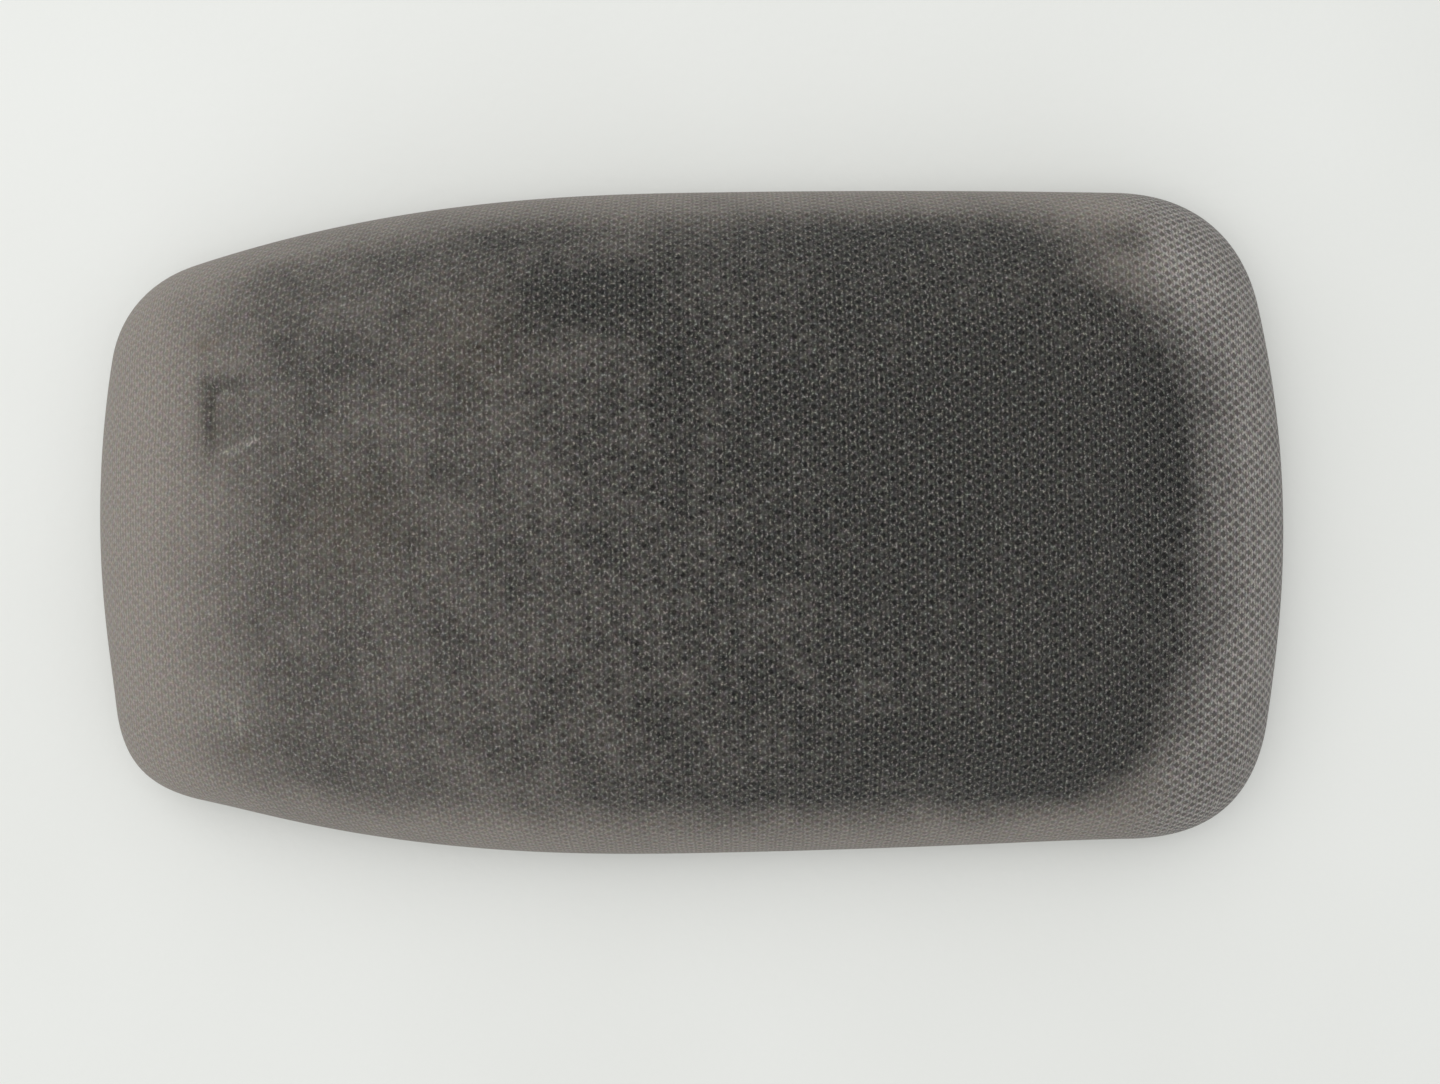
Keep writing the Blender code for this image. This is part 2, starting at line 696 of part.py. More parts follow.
def latch_lever(latch):
    lever = prism("latch_lever", lever_outline(), "Y", -LATCH_HALF_WIDTH, LATCH_HALF_WIDTH)
    lever.location = (LATCH_X, 0, LATCH_Z)
    axis = (LATCH_X, LATCH_Z)
    half = 2 * LATCH_HALF_WIDTH
    bore = rod("lever_bore", "Y", axis, LATCH_PIN_RADIUS + GAP, -half, half, HOLE_SIDES)
    combine(lever, bore, "DIFFERENCE")
    edge = lever.modifiers.new("rounded edges", "BEVEL")
    edge.width = 0.0004
    edge.segments = 1
    edge.limit_method = "ANGLE"
    edge.angle_limit = math.radians(50)
    return finished(lever, "latch_plastic", latch)


def latch_pin_and_springs(lid):
    """The lever's pin, with a return spring wound round it between the lever and each cheek."""
    axis = (LATCH_X, 0, LATCH_Z)
    half = LATCH_PIN_HALF_LENGTH
    pin = rod("latch_pivot_pin", "Y", (0, 0), LATCH_PIN_RADIUS, -half, half)
    pin.location = axis
    finished(pin, "spring_steel", lid)
    near = LATCH_HALF_WIDTH + 2 * GAP
    far = CHEEK_INNER_Y - 2 * GAP
    for name, side in (("latch_spring_left", -1), ("latch_spring_right", 1)):
        start, end = sorted((side * near, side * far))
        coil_envelope(name, LATCH_PIN_RADIUS + 2 * GAP, LATCH_SPRING_RADIUS, start, end, axis, lid)


# ---------------------------------------------------------------- the assembly


def build():
    clear_scene()
    lid = pivot("lid_pivot", (HINGE_X, 0, HINGE_Z))
    latch = pivot("latch_pivot", (LATCH_X, 0, LATCH_Z), lid)
    fabric_cover(lid)
    foam_pad(lid)
    lid_shell(lid)
    inner_panel(lid)
    bumpers(lid)
    hinge_base()
    hinge_leaf(lid)
    hinge_pin()
    hinge_bushings()
    hinge_clips()
    torsion_springs()
    latch_housing(lid)
    latch_lever(latch)
    latch_pin_and_springs(lid)
    screws(lid)


build()
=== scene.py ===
"""The looks of a worn, cloth-covered console armrest lid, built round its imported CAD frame.

The frame is +X to the hinge end, +Z up, with the origin on the floor under the lid, in metres.
The cloth, the foam and the inner panel are rebuilt as fine lofts on the lid's own outline.
Screws, bumpers and springs are rebuilt too, and the rest of the CAD keeps its shape.
"""

import json
import math

import bmesh
import bpy
import numpy as np
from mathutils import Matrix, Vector

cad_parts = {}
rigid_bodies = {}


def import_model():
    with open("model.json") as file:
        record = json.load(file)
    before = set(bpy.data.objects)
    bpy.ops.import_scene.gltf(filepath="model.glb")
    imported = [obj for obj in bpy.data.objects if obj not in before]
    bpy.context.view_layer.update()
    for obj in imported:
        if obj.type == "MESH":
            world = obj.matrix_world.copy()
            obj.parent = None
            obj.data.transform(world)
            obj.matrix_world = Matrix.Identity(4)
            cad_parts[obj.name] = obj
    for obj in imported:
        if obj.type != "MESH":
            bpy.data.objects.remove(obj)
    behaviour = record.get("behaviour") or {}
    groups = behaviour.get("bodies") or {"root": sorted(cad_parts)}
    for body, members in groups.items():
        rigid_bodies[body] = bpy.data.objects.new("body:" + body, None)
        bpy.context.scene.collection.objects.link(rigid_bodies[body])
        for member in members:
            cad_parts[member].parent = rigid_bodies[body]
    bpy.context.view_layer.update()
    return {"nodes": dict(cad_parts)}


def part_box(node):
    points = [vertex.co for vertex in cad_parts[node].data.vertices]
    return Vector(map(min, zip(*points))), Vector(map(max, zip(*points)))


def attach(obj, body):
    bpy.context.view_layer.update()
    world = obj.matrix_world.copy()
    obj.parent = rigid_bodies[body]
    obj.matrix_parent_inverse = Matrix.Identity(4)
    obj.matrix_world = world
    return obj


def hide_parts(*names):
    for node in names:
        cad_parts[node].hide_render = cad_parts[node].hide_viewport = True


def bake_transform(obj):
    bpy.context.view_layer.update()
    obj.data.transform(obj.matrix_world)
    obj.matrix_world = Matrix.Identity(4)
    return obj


for leftover in list(bpy.data.objects):
    bpy.data.objects.remove(leftover, do_unlink=True)
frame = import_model()

MM = 0.001

# The lid's box and heights, from the frame.
COVER_LOW, COVER_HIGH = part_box("fabric_cover")
LENGTH = COVER_HIGH.x - COVER_LOW.x
WIDTH = COVER_HIGH.y - COVER_LOW.y
HEIGHT = COVER_HIGH.z
HEM_BOTTOM = COVER_LOW.z
FOAM_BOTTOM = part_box("foam_pad")[0].z
SHELL_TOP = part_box("lid_shell")[1].z
PANEL_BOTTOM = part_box("inner_panel")[0].z
PANEL_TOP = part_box("inner_panel")[1].z
FLANGE_INSET = LENGTH / 2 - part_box("inner_panel")[1].x

# The outline in plan, as the CAD has it: tapered sides, bowed ends, a blend at each corner.
FRONT_TAPER = 28.2 * MM
FRONT_TAPER_POWER = 2.4
REAR_TAPER = 4.2 * MM
END_BOW_RADIUS = 280 * MM
FRONT_CORNER = 18 * MM
REAR_CORNER = 31 * MM

# The crown, as the CAD has it: flat in the middle, then a rounded fall to the edge.
CROWN_X = 8 * MM
PLATEAU = 0.4
FRONT_CROWN_POWER = 2.1
REAR_CROWN_POWER = 1.5
CORNER_CROWDING = 0.55
CLOTH_SPRING = 9 * MM
SHELL_SPRING = 14 * MM

# Walls and fits.
GAP = 0.3 * MM
CLOTH = 1.8 * MM
HEM = 1.5 * MM
HEM_INSET = 13 * MM
HEM_ROLL = 3.2 * MM
SHELL_INSET = 10.5 * MM

# How finely the lofts are divided: rays, then steps over the flat top and down the fall.
COVER_RAYS = 480
COVER_STEPS = (40, 84)
LINING_STEPS = (8, 24)
FOAM_RAYS = 240
FOAM_STEPS = (16, 40)
PANEL_RAYS = 240

# The search for where a ray meets the outline: how far it looks, and how often it halves.
RAY_LIMIT = 2.0
HALVINGS = 40

# Points closer together than this are one.
SAME_POINT = 0.001 * MM

# The knit: one check in the cloth is a column wide and a row high, and staggered.
COLUMN = 2.46 * MM
ROW = 2.66 * MM


# -------- the lid's form


def soft_step(value, low, high):
    """From 0 at low to 1 at high, smooth at both ends."""
    share = np.clip((value - low) / (high - low), 0, 1)
    return share * share * (3 - 2 * share)


def half_width(x):
    """Half of the width at x, leaving out the corners."""
    share = np.abs(x) / (LENGTH / 2)
    rear = WIDTH / 2 - REAR_TAPER * share**2
    front = WIDTH / 2 - FRONT_TAPER * share**FRONT_TAPER_POWER
    return np.where(x > 0, rear, front)


def end_distance(x, y):
    """How far a point in plan is inside the nearer end."""
    return LENGTH / 2 - y * y / (2 * END_BOW_RADIUS) - np.abs(x)


def side_distance(x, y):
    """How far a point in plan is inside the nearer long side."""
    return half_width(x) - np.abs(y)


def edge_distance(x, y):
    """How far a point in plan is inside the outline, with the corners blended."""
    side = side_distance(x, y)
    end = end_distance(x, y)
    corner = np.where(x > 0, REAR_CORNER, FRONT_CORNER)
    overlap = np.maximum(corner - np.abs(side - end), 0) / corner
    return np.minimum(side, end) - corner * overlap**2 / 4


def directions(count):
    """Rays from the crown's centre, closest together at the four corners."""
    turn = np.arange(count) * math.tau / count
    turn += CORNER_CROWDING * np.sin(4 * turn) / 4
    return np.stack([LENGTH / 2 * np.cos(turn), WIDTH / 2 * np.sin(turn)], axis=1)


def reach(rays, inset):
    """How many times its direction each ray runs before it is this far inside the outline."""
    low = np.zeros(len(rays))
    high = np.full(len(rays), RAY_LIMIT)
    for _ in range(HALVINGS):
        middle = (low + high) / 2
        inside = edge_distance(CROWN_X + middle * rays[:, 0], middle * rays[:, 1]) > inset
        low = np.where(inside, middle, low)
        high = np.where(inside, high, middle)
    return low


def ring(rays, scale, height):
    """A loop of points at these distances along the rays."""
    x = CROWN_X + scale * rays[:, 0]
    y = scale * rays[:, 1]
    return np.stack([x, y, np.broadcast_to(height, x.shape)], axis=1)


def edge_ring(rays, inset, height):
    """A loop of points this far inside the outline."""
    return ring(rays, reach(rays, inset), height)


def crown_fall(share, rays):
    """The height left, from 1 to 0, at this share of the way from the flat top to the edge."""
    rearward = rays[:, 0] / np.hypot(rays[:, 0], rays[:, 1] * LENGTH / WIDTH)
    mean_power = (REAR_CROWN_POWER + FRONT_CROWN_POWER) / 2
    power = mean_power + rearward * (REAR_CROWN_POWER - FRONT_CROWN_POWER) / 2
    return np.sqrt(1 - share**power)


def dome(rays, inset, spring, top, flat_steps, fall_steps):
    """Loops from the crown's centre over the flat top and down the fall to the edge."""
    flat = PLATEAU * reach(rays, 0)
    edge = reach(rays, inset)
    loops = [ring(rays, flat * step / flat_steps, top) for step in range(1, flat_steps + 1)]
    for step in range(1, fall_steps + 1):
        share = math.sin(math.pi / 2 * step / fall_steps)
        height = spring + (top - spring) * crown_fall(share, rays)
        loops.append(ring(rays, flat + (edge - flat) * share, height))
    return loops


# -------- unevenness of the soft top

# The pressed mark near the front corner, and the soft edges of its rectangle.
IMPRINT = (-121.5 * MM, 29 * MM)
IMPRINT_SIZE = (10.5 * MM, 18.5 * MM)
IMPRINT_DEPTH = 1.1 * MM
IMPRINT_SOFTNESS = 1.6 * MM
IMPRINT_TILT = 0.55

# Where the pad's moulded edge shows through the cloth along each long side, and fades by the ends.
PAD_EDGE_INSET = 10.5 * MM
PAD_EDGE_WIDTH = 2.6 * MM
PAD_EDGE_HEIGHT = 0.8 * MM
PAD_EDGE_FADE = (12 * MM, 45 * MM)

# The dish in the middle, and gentle hollows and swells, as (height, wavelength along x,
# wavelength along y, phase). All of them fade towards the outline.
DISH_DEPTH = 0.7 * MM
DISH_RADII = (80 * MM, 42 * MM)
RELIEF_FADE = (2 * MM, 26 * MM)
SWELLS = [
    (0.22 * MM, 148 * MM, -96 * MM, 0.4),
    (0.16 * MM, 71 * MM, 83 * MM, 2.1),
    (0.12 * MM, -44 * MM, 61 * MM, 4.0),
    (0.08 * MM, 29 * MM, 37 * MM, 1.2),
]

# The two corners where the cloth is fuller, as ((x, y), radius, how far it stands out).
FULL_CORNERS = [
    ((-156 * MM, -66 * MM), 18 * MM, 2.3 * MM),
    ((146 * MM, -82 * MM), 26 * MM, 2.0 * MM),
]


def imprint(x, y):
    """The pressed mark: 1 where it is deepest, along its front edge, and 0 outside it."""
    length, width = IMPRINT_SIZE
    across = x - IMPRINT[0] + length / 2
    along = y - IMPRINT[1] + width / 2
    inside = soft_step(across, 0, IMPRINT_SOFTNESS)
    inside = inside * soft_step(length - across, 0, 2 * IMPRINT_SOFTNESS)
    inside = inside * soft_step(along, 0, 2 * IMPRINT_SOFTNESS)
    inside = inside * soft_step(width - along, 0, IMPRINT_SOFTNESS)
    return inside * (1 - IMPRINT_TILT * np.clip(across / length, 0, 1))


def relief(x, y):
    """How far the soft top stands above its plain crown at a point in plan."""
    height = -DISH_DEPTH * np.exp(-((x / DISH_RADII[0]) ** 2) - (y / DISH_RADII[1]) ** 2)
    for rise, along_x, along_y, phase in SWELLS:
        height = height + rise * np.sin(math.tau * (x / along_x + y / along_y) + phase)
    away = soft_step(edge_distance(x, y), *RELIEF_FADE)
    line = (side_distance(x, y) - PAD_EDGE_INSET) / PAD_EDGE_WIDTH
    ends = soft_step(end_distance(x, y), *PAD_EDGE_FADE)
    pad_edge = PAD_EDGE_HEIGHT * np.exp(-line * line) * ends
    return height * away + pad_edge - IMPRINT_DEPTH * imprint(x, y)


def filled(loops):
    """The same loops, pushed out where the cloth is fuller than the moulded outline."""
    moved = []
    for loop in loops:
        plan = loop[:, :2].copy()
        for corner, radius, fullness in FULL_CORNERS:
            far = np.linalg.norm(loop[:, :2] - corner, axis=1) / radius
            plan += np.sign(corner) * fullness / math.sqrt(2) * np.exp(-far * far)[:, None]
        moved.append(np.column_stack([plan, loop[:, 2]]))
    return moved


def uneven(loops):
    """The same loops, raised and lowered by the relief of the top."""
    return [np.column_stack([loop[:, :2], loop[:, 2] + relief(*loop[:, :2].T)]) for loop in loops]


# -------- mesh helpers

BIT_SIDES = 28
WIRE_SIDES = 12


def new_object(name, mesh):
    """An object with this mesh, lamp or camera, in the scene."""
    obj = bpy.data.objects.new(name, mesh)
    bpy.context.scene.collection.objects.link(obj)
    return obj


def stand_in(obj, node):
    """Puts a piece on the lid in a CAD node's place."""
    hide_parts(node)
    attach(obj, "lid")


def shaded(obj, degrees):
    """Smooth shading, broken where the surface turns by more than this."""
    obj.data.shade_smooth()
    obj.data.set_sharp_from_angle(angle=math.radians(degrees))
    return obj


def skin(name, loops, degrees=40):
    """A closed solid through loops of equal length, drawn together to a point at each end."""
    count = len(loops[0])
    points = np.concatenate([*loops, [loops[0].mean(axis=0)], [loops[-1].mean(axis=0)]])
    first_pole, last_pole = len(points) - 2, len(points) - 1
    faces = []
    for level in range(len(loops) - 1):
        for i in range(count):
            j = (i + 1) % count
            upper, lower = level * count, (level + 1) * count
            faces.append((upper + i, lower + i, lower + j, upper + j))
    last = (len(loops) - 1) * count
    for i in range(count):
        j = (i + 1) % count
        faces.append((first_pole, i, j))
        faces.append((last_pole, last + j, last + i))
    mesh = bpy.data.meshes.new(name)
    mesh.from_pydata(points.tolist(), [], faces)
    mesh.update()
    return shaded(new_object(name, mesh), degrees)


def finished(name, shape):
    """The mesh of a shape under construction, which is freed."""
    mesh = bpy.data.meshes.new(name)
    shape.to_mesh(mesh)
    shape.free()
    return mesh


def turned_mesh(name, profile, sides):
    """A closed (radius, height) profile spun about Z."""
    shape = bmesh.new()
    rim = [shape.verts.new((radius, 0, height)) for radius, height in profile]
    edges = [shape.edges.new(pair) for pair in zip(rim, rim[1:])]
    turn = {"axis": (0, 0, 1), "cent": (0, 0, 0), "angle": math.tau}
    bmesh.ops.spin(shape, geom=rim + edges, steps=sides, use_merge=True, **turn)
    bmesh.ops.remove_doubles(shape, verts=shape.verts, dist=SAME_POINT)
    bmesh.ops.recalc_face_normals(shape, faces=shape.faces)
    return finished(name, shape)


def arc(centre, radius, start, end, steps):
    """Points along an arc, from one angle in degrees to another."""
    angles = [math.radians(start + (end - start) * step / steps) for step in range(steps + 1)]
    return [(centre[0] + radius * math.cos(a), centre[1] + radius * math.sin(a)) for a in angles]


def cut(obj, tools):
    """Cuts each tool out of the object, applies the cuts, and removes the tools."""
    for tool in tools:
        modifier = obj.modifiers.new("cut", "BOOLEAN")
        modifier.operation = "DIFFERENCE"
        modifier.object = tool
        modifier.solver = "EXACT"
    bpy.context.view_layer.update()
    evaluated = obj.evaluated_get(bpy.context.evaluated_depsgraph_get())
    carved = bpy.data.meshes.new_from_object(evaluated)
    obj.modifiers.clear()
    obj.data = carved
    for tool in tools:
        bpy.data.objects.remove(tool, do_unlink=True)


def box(low, high):
    """A plain block, for cutting with."""
    shape = bmesh.new()
    bmesh.ops.create_cube(shape, size=1)
    size = Vector(high) - Vector(low)
    bmesh.ops.scale(shape, verts=shape.verts, vec=size)
    bmesh.ops.translate(shape, verts=shape.verts, vec=(Vector(low) + Vector(high)) / 2)
    return new_object("block", finished("block", shape))


def drill_bit(place, radius, low, high):
    """An upright rod, for cutting a round hole with."""
    profile = [(0, low), (radius, low), (radius, high), (0, high)]
    bit = new_object("drill_bit", turned_mesh("drill_bit", profile, BIT_SIDES))
    bit.location = (*place, 0)
    return bit


def wire(name, points, radius):
    """A round wire along a path of points, with flat cut ends."""
    path = [Vector(point) for point in points]
    side = (path[1] - path[0]).orthogonal().normalized()
    turns = [math.tau * k / WIRE_SIDES for k in range(WIRE_SIDES)]
    loops = []
    for i, point in enumerate(path):
        before, after = path[max(i - 1, 0)], path[min(i + 1, len(path) - 1)]
        along = (after - before).normalized()
        side = (side - along * side.dot(along)).normalized()
        other = along.cross(side)
        spokes = [math.cos(turn) * side + math.sin(turn) * other for turn in turns]
        loops.append(np.array([point + radius * spoke for spoke in spokes]))
    return skin(name, loops[::-1], 50)


# -------- material helpers


def operator(operation, swapped=False):
    """A method that combines a signal with another value in one math node."""

    def method(self, other):
        return self.graph.math(operation, *((other, self) if swapped else (self, other)))

    return method


class Signal:
    """A value that varies over a surface. Its operators add math nodes to the material."""

    def __init__(self, graph, socket):
        self.graph = graph
        self.socket = socket

    def __abs__(self):
        return self.graph.math("ABSOLUTE", self)

    __add__ = __radd__ = operator("ADD")
    __sub__ = operator("SUBTRACT")
    __rsub__ = operator("SUBTRACT", swapped=True)
    __mul__ = __rmul__ = operator("MULTIPLY")
    __truediv__ = operator("DIVIDE")


class Graph:
    """A material under construction, with its Principled shader."""

    def __init__(self, name, roughness, metallic=0.0):
        self.material = bpy.data.materials.new(name)
        self.material.use_nodes = True
        self.tree = self.material.node_tree
        self.shader = self.tree.nodes["Principled BSDF"]
        self.shader.inputs["Roughness"].default_value = roughness
        self.shader.inputs["Metallic"].default_value = metallic

    def node(self, kind, inputs=(), **settings):
        """A new shader node of this kind, with these inputs, fed by name, and these settings."""
        made = self.tree.nodes.new("ShaderNode" + kind)
        for name, value in settings.items():
            setattr(made, name, value)
        for name, value in dict(inputs).items():
            self.feed(value, made.inputs[name])
        return made

    def feed(self, value, socket):
        """Links a signal or a socket, or sets a plain value."""
        if isinstance(value, Signal):
            self.tree.links.new(value.socket, socket)
        elif isinstance(value, bpy.types.NodeSocket):
            self.tree.links.new(value, socket)
        else:
            socket.default_value = value

    def math(self, operation, *values):
        """The result of one math node."""
        made = self.node("Math", operation=operation)
        for value, socket in zip(values, made.inputs):
            self.feed(value, socket)
        return Signal(self, made.outputs[0])

    def smooth(self, value, low, high):
        """From 0 at low to 1 at high, smooth at both ends. Low may be above high."""
        inputs = {"Value": value, "From Min": low, "From Max": high}
        made = self.node("MapRange", inputs, interpolation_type="SMOOTHSTEP")
        return Signal(self, made.outputs["Result"])

    def split(self, kind, whole):
        """The three parts of a vector, of kind XYZ, or of a colour, of kind Color."""
        made = self.node("Separate" + kind)
        self.feed(whole, made.inputs[0])
        return [Signal(self, part) for part in made.outputs]

    def place(self):
        """The point's own position on its piece, in metres."""
        return self.node("TexCoord").outputs["Object"]

    def noise(self, vector, wavelength, detail=2.0, rough=0.5, dimensions="3D"):
        """Cloudy noise from 0 to 1, and its three-channel colour."""
        inputs = {"Vector": vector, "Scale": 1 / wavelength, "Detail": detail, "Roughness": rough}
        made = self.node("TexNoise", inputs, noise_dimensions=dimensions)
        return Signal(self, made.outputs["Fac"]), made.outputs["Color"]

    def mix(self, low, high, share, blend="MIX"):
        """A colour between two colours."""
        made = self.node("Mix", data_type="RGBA", blend_type=blend)
        self.feed(share, made.inputs[0])
        self.feed(low, made.inputs[6])
        self.feed(high, made.inputs[7])
        return made.outputs[2]

    def finish(self, colour, height, depth, roughness=None):
        """Connects the colour, the bump of this depth in metres, and any roughness that varies."""
        bump = self.node("Bump", {"Height": height, "Distance": depth, "Strength": 1.0})
        self.feed(colour, self.shader.inputs["Base Color"])
        self.feed(bump.outputs[0], self.shader.inputs["Normal"])
        if roughness is not None:
            self.feed(roughness, self.shader.inputs["Roughness"])
        return self.material


def shade(red, green, blue):
    """A colour given as the eye reads it, from 0 to 255, turned into linear light."""
    linear = [((c / 255 + 0.055) / 1.055) ** 2.4 for c in (red, green, blue)]
    return (*linear, 1.0)


# -------- the cloth's material

CLEAN_LIGHT = shade(162, 154, 146)
CLEAN_DARK = shade(120, 113, 105)
# Light painted onto the light threads towards the rear end, and shade painted into the dark ones
# there.
REAR_PAINTED_LIGHT = shade(188, 183, 177)
REAR_PAINTED_SHADE = shade(100, 95, 91)
SOILED_LIGHT = shade(80, 79, 75)
SOILED_DARK = shade(18, 17, 16)
# A painted highlight on single fibres of the soiled cloth.
SOILED_GLINT = shade(152, 149, 142)
BROWN_STAIN = shade(92, 80, 62)
BEIGE_SCUFF = shade(172, 168, 158)
KNIT_DEPTH = 0.35 * MM

# Wavelengths of the noise in the cloth, from its stains down to single fibres.
BLOTCH = 17 * MM
WANDER = 9 * MM
SPECKLE = 3.2 * MM
TINT = 1.6 * MM
TREMBLE = 0.9 * MM
FIBRE = 0.72 * MM

# In shares of one check: how far its threads stray, where they run, and how far they swing.
WANDER_SHARE = 0.34
TREMBLE_SHARE = 0.16
THREAD_OFFSET = 0.27
THREAD_SWING = 0.09
BEAD_OFFSET = 0.27

# Half sizes of a hollow, what they gain where the knit is open, and those of a pinhole.
HOLLOW_SIZE = (0.16, 0.15)
HOLLOW_GAIN = (0.30, 0.20)
PINHOLE_SIZE = (0.11, 0.13)
PINHOLE_OFFSET = 0.25

# How deep both are where the knit is closed, and what they gain where it is open. The same depths
# darken the colour there as painted shade.
CLOSED_FALL = 0.06
HOLLOW_FALL_GAIN = 0.38
PINHOLE_FALL_GAIN = 0.10

# Where each part of the knit begins to show, and where it shows fully.
THREAD_FADE = (0.23, 0.04)
BEAD_FADE = (0.16, 0.02)
FLOAT_ALONG = (0.30, 0.46)
FLOAT_ACROSS = (0.42, 0.2)
HOLLOW_FADE = (1.5, 0.5)
PINHOLE_FADE = (1.8, 0.2)
# Where the painted glint on fibres begins and where it is complete.
FIBRE_GLINT_FADE = (0.54, 0.72)
# Where the painted rear light and shade begin and where they are complete, as shares of openness.
REAR_PAINT_FADE = (0.4, 1.0)


def checks(graph, lay):
    """A point's place in its check, across and along from -0.5 to 0.5, and the check's chance."""
    _, wander = graph.noise(lay, WANDER, 1.0, dimensions="2D")
    _, tremble = graph.noise(lay, TREMBLE, 1.0, dimensions="2D")
    parts = zip((COLUMN, ROW), *map(graph.split, ("XYZ", "Color", "Color"), (lay, wander, tremble)))
    counts = []
    for size, place, drift, shake in parts:
        counts.append(place / size + drift * WANDER_SHARE + shake * TREMBLE_SHARE)
    column, row = counts
    number = graph.math("FLOOR", column)
    row = row + graph.math("FLOORED_MODULO", number, 2.0) * 0.5
    cell = graph.node("CombineXYZ", {"X": number, "Y": graph.math("FLOOR", row)})
    chance = graph.node("TexWhiteNoise", {"Vector": cell.outputs[0]}, noise_dimensions="2D")
    across = graph.math("FRACT", column) - 0.5
    along = graph.math("FRACT", row) - 0.5
    return across, along, Signal(graph, chance.outputs["Value"])


def knit(graph, lay, openness):
    """Two wavy threads to a column, closing over floats and opening round hollows.

    Gives the knit's height, and how much light thread shows, with shade painted into its hollows
    and pinholes and a painted glint on single fibres.
    The hollows are small and shallow where openness is 0, and wide and deep where it is 1.
    """
    across, along, chance = checks(graph, lay)
    wide, high = abs(across), abs(along)
    swing = graph.math("COSINE", along * math.tau)
    thread = graph.smooth(abs(wide - THREAD_OFFSET - swing * THREAD_SWING), *THREAD_FADE)
    bead = graph.smooth(abs(high - BEAD_OFFSET), *BEAD_FADE) * thread
    float_top = graph.smooth(high, *FLOAT_ALONG) * graph.smooth(wide, *FLOAT_ACROSS)
    off_x = wide / (HOLLOW_SIZE[0] + openness * HOLLOW_GAIN[0])
    off_y = high / (HOLLOW_SIZE[1] + openness * HOLLOW_GAIN[1])
    depth = 0.5 + chance * 0.7
    hollow = graph.smooth(off_x * off_x + off_y * off_y, *HOLLOW_FADE) * depth
    gap_x = (0.5 - wide) / PINHOLE_SIZE[0]
    gap_y = abs(high - PINHOLE_OFFSET) / PINHOLE_SIZE[1]
    pinhole = graph.smooth(gap_x * gap_x + gap_y * gap_y, *PINHOLE_FADE)
    fibre, _ = graph.noise(lay, FIBRE, 2.0, 0.7, dimensions="2D")
    # A painted glint where single fibres on the raised threads catch the light.
    fibre_glint = graph.smooth(fibre, *FIBRE_GLINT_FADE) * (thread + float_top)

    hollow_fall = hollow * (CLOSED_FALL + openness * HOLLOW_FALL_GAIN)
    pinhole_fall = pinhole * (CLOSED_FALL + openness * PINHOLE_FALL_GAIN)
    height = 0.3 + thread * 0.25 + bead * 0.2 + float_top * 0.4
    height = height - hollow_fall - pinhole_fall + fibre * 0.35
    # The light share is painted darker as shade where the hollows and pinholes fall, and lighter as
    # a highlight where fibres glint.
    light = thread * 0.1 + bead * 0.42 + float_top * 0.32
    light = light - hollow_fall - pinhole_fall + fibre * 0.9 + fibre_glint * 0.6 - 0.13
    light = graph.math("MAXIMUM", graph.math("MINIMUM", light, 1.0), 0.0)
    return height, light, fibre_glint


def uneven_dirt_and_shade(graph, lay, dirt_and_shade):
    """The dirt and the shade painted at the pressed mark, broken up by blotches and speckles, most
    of all where it is half strength.
    """
    blotch, _ = graph.noise(lay, BLOTCH, 3.0, 0.6, dimensions="2D")
    speckle, _ = graph.noise(lay, SPECKLE, 2.0, 0.6, dimensions="2D")
    broken = dirt_and_shade + dirt_and_shade * ((blotch - 0.5) * 0.3 + (speckle - 0.5) * 0.5)
    return broken + dirt_and_shade * (1 - dirt_and_shade) * (blotch - 0.5)


def cloth_material():
    """Worn warm-grey knit: clean at the sides, and darkened by handling over the top. Shade is
    painted into its hollows and along the pressed mark's edges, and light onto glinting fibres and
    the rear end.
    """
    graph = Graph("worn_checked_knit", 0.92)
    finish = {"Sheen Weight": 0.12, "Sheen Roughness": 0.5, "Specular IOR Level": 0.25}
    for name, value in finish.items():
        graph.shader.inputs[name].default_value = value
    lay = graph.node("UVMap", uv_map="weave").outputs[0]
    soil_light_and_shade = graph.node("Attribute", attribute_name="soil_light_and_shade")
    dirt_and_shade, brown, beige = graph.split("Color", soil_light_and_shade.outputs["Color"])
    openness = Signal(graph, soil_light_and_shade.outputs["Alpha"])
    height, light, glint = knit(graph, lay, openness)
    # Towards the rear, as the knit opens, light is painted onto the light threads and shade into
    # the dark ones.
    rear_paint = graph.smooth(openness, *REAR_PAINT_FADE)
    clean_light = graph.mix(CLEAN_LIGHT, REAR_PAINTED_LIGHT, rear_paint)
    clean_dark = graph.mix(CLEAN_DARK, REAR_PAINTED_SHADE, rear_paint)
    clean = graph.mix(clean_dark, clean_light, light)
    soiled = graph.mix(SOILED_DARK, SOILED_LIGHT, light)
    # Painted highlights where single fibres glint.
    soiled = graph.mix(soiled, SOILED_GLINT, glint * 0.55)
    colour = graph.mix(clean, soiled, uneven_dirt_and_shade(graph, lay, dirt_and_shade))
    colour = graph.mix(colour, BROWN_STAIN, brown)
    colour = graph.mix(colour, BEIGE_SCUFF, beige * light)
    _, tint = graph.noise(lay, TINT, 1.0, dimensions="2D")
    colour = graph.mix(colour, tint, 0.16, "SOFT_LIGHT")
    return graph.finish(colour, height, KNIT_DEPTH)


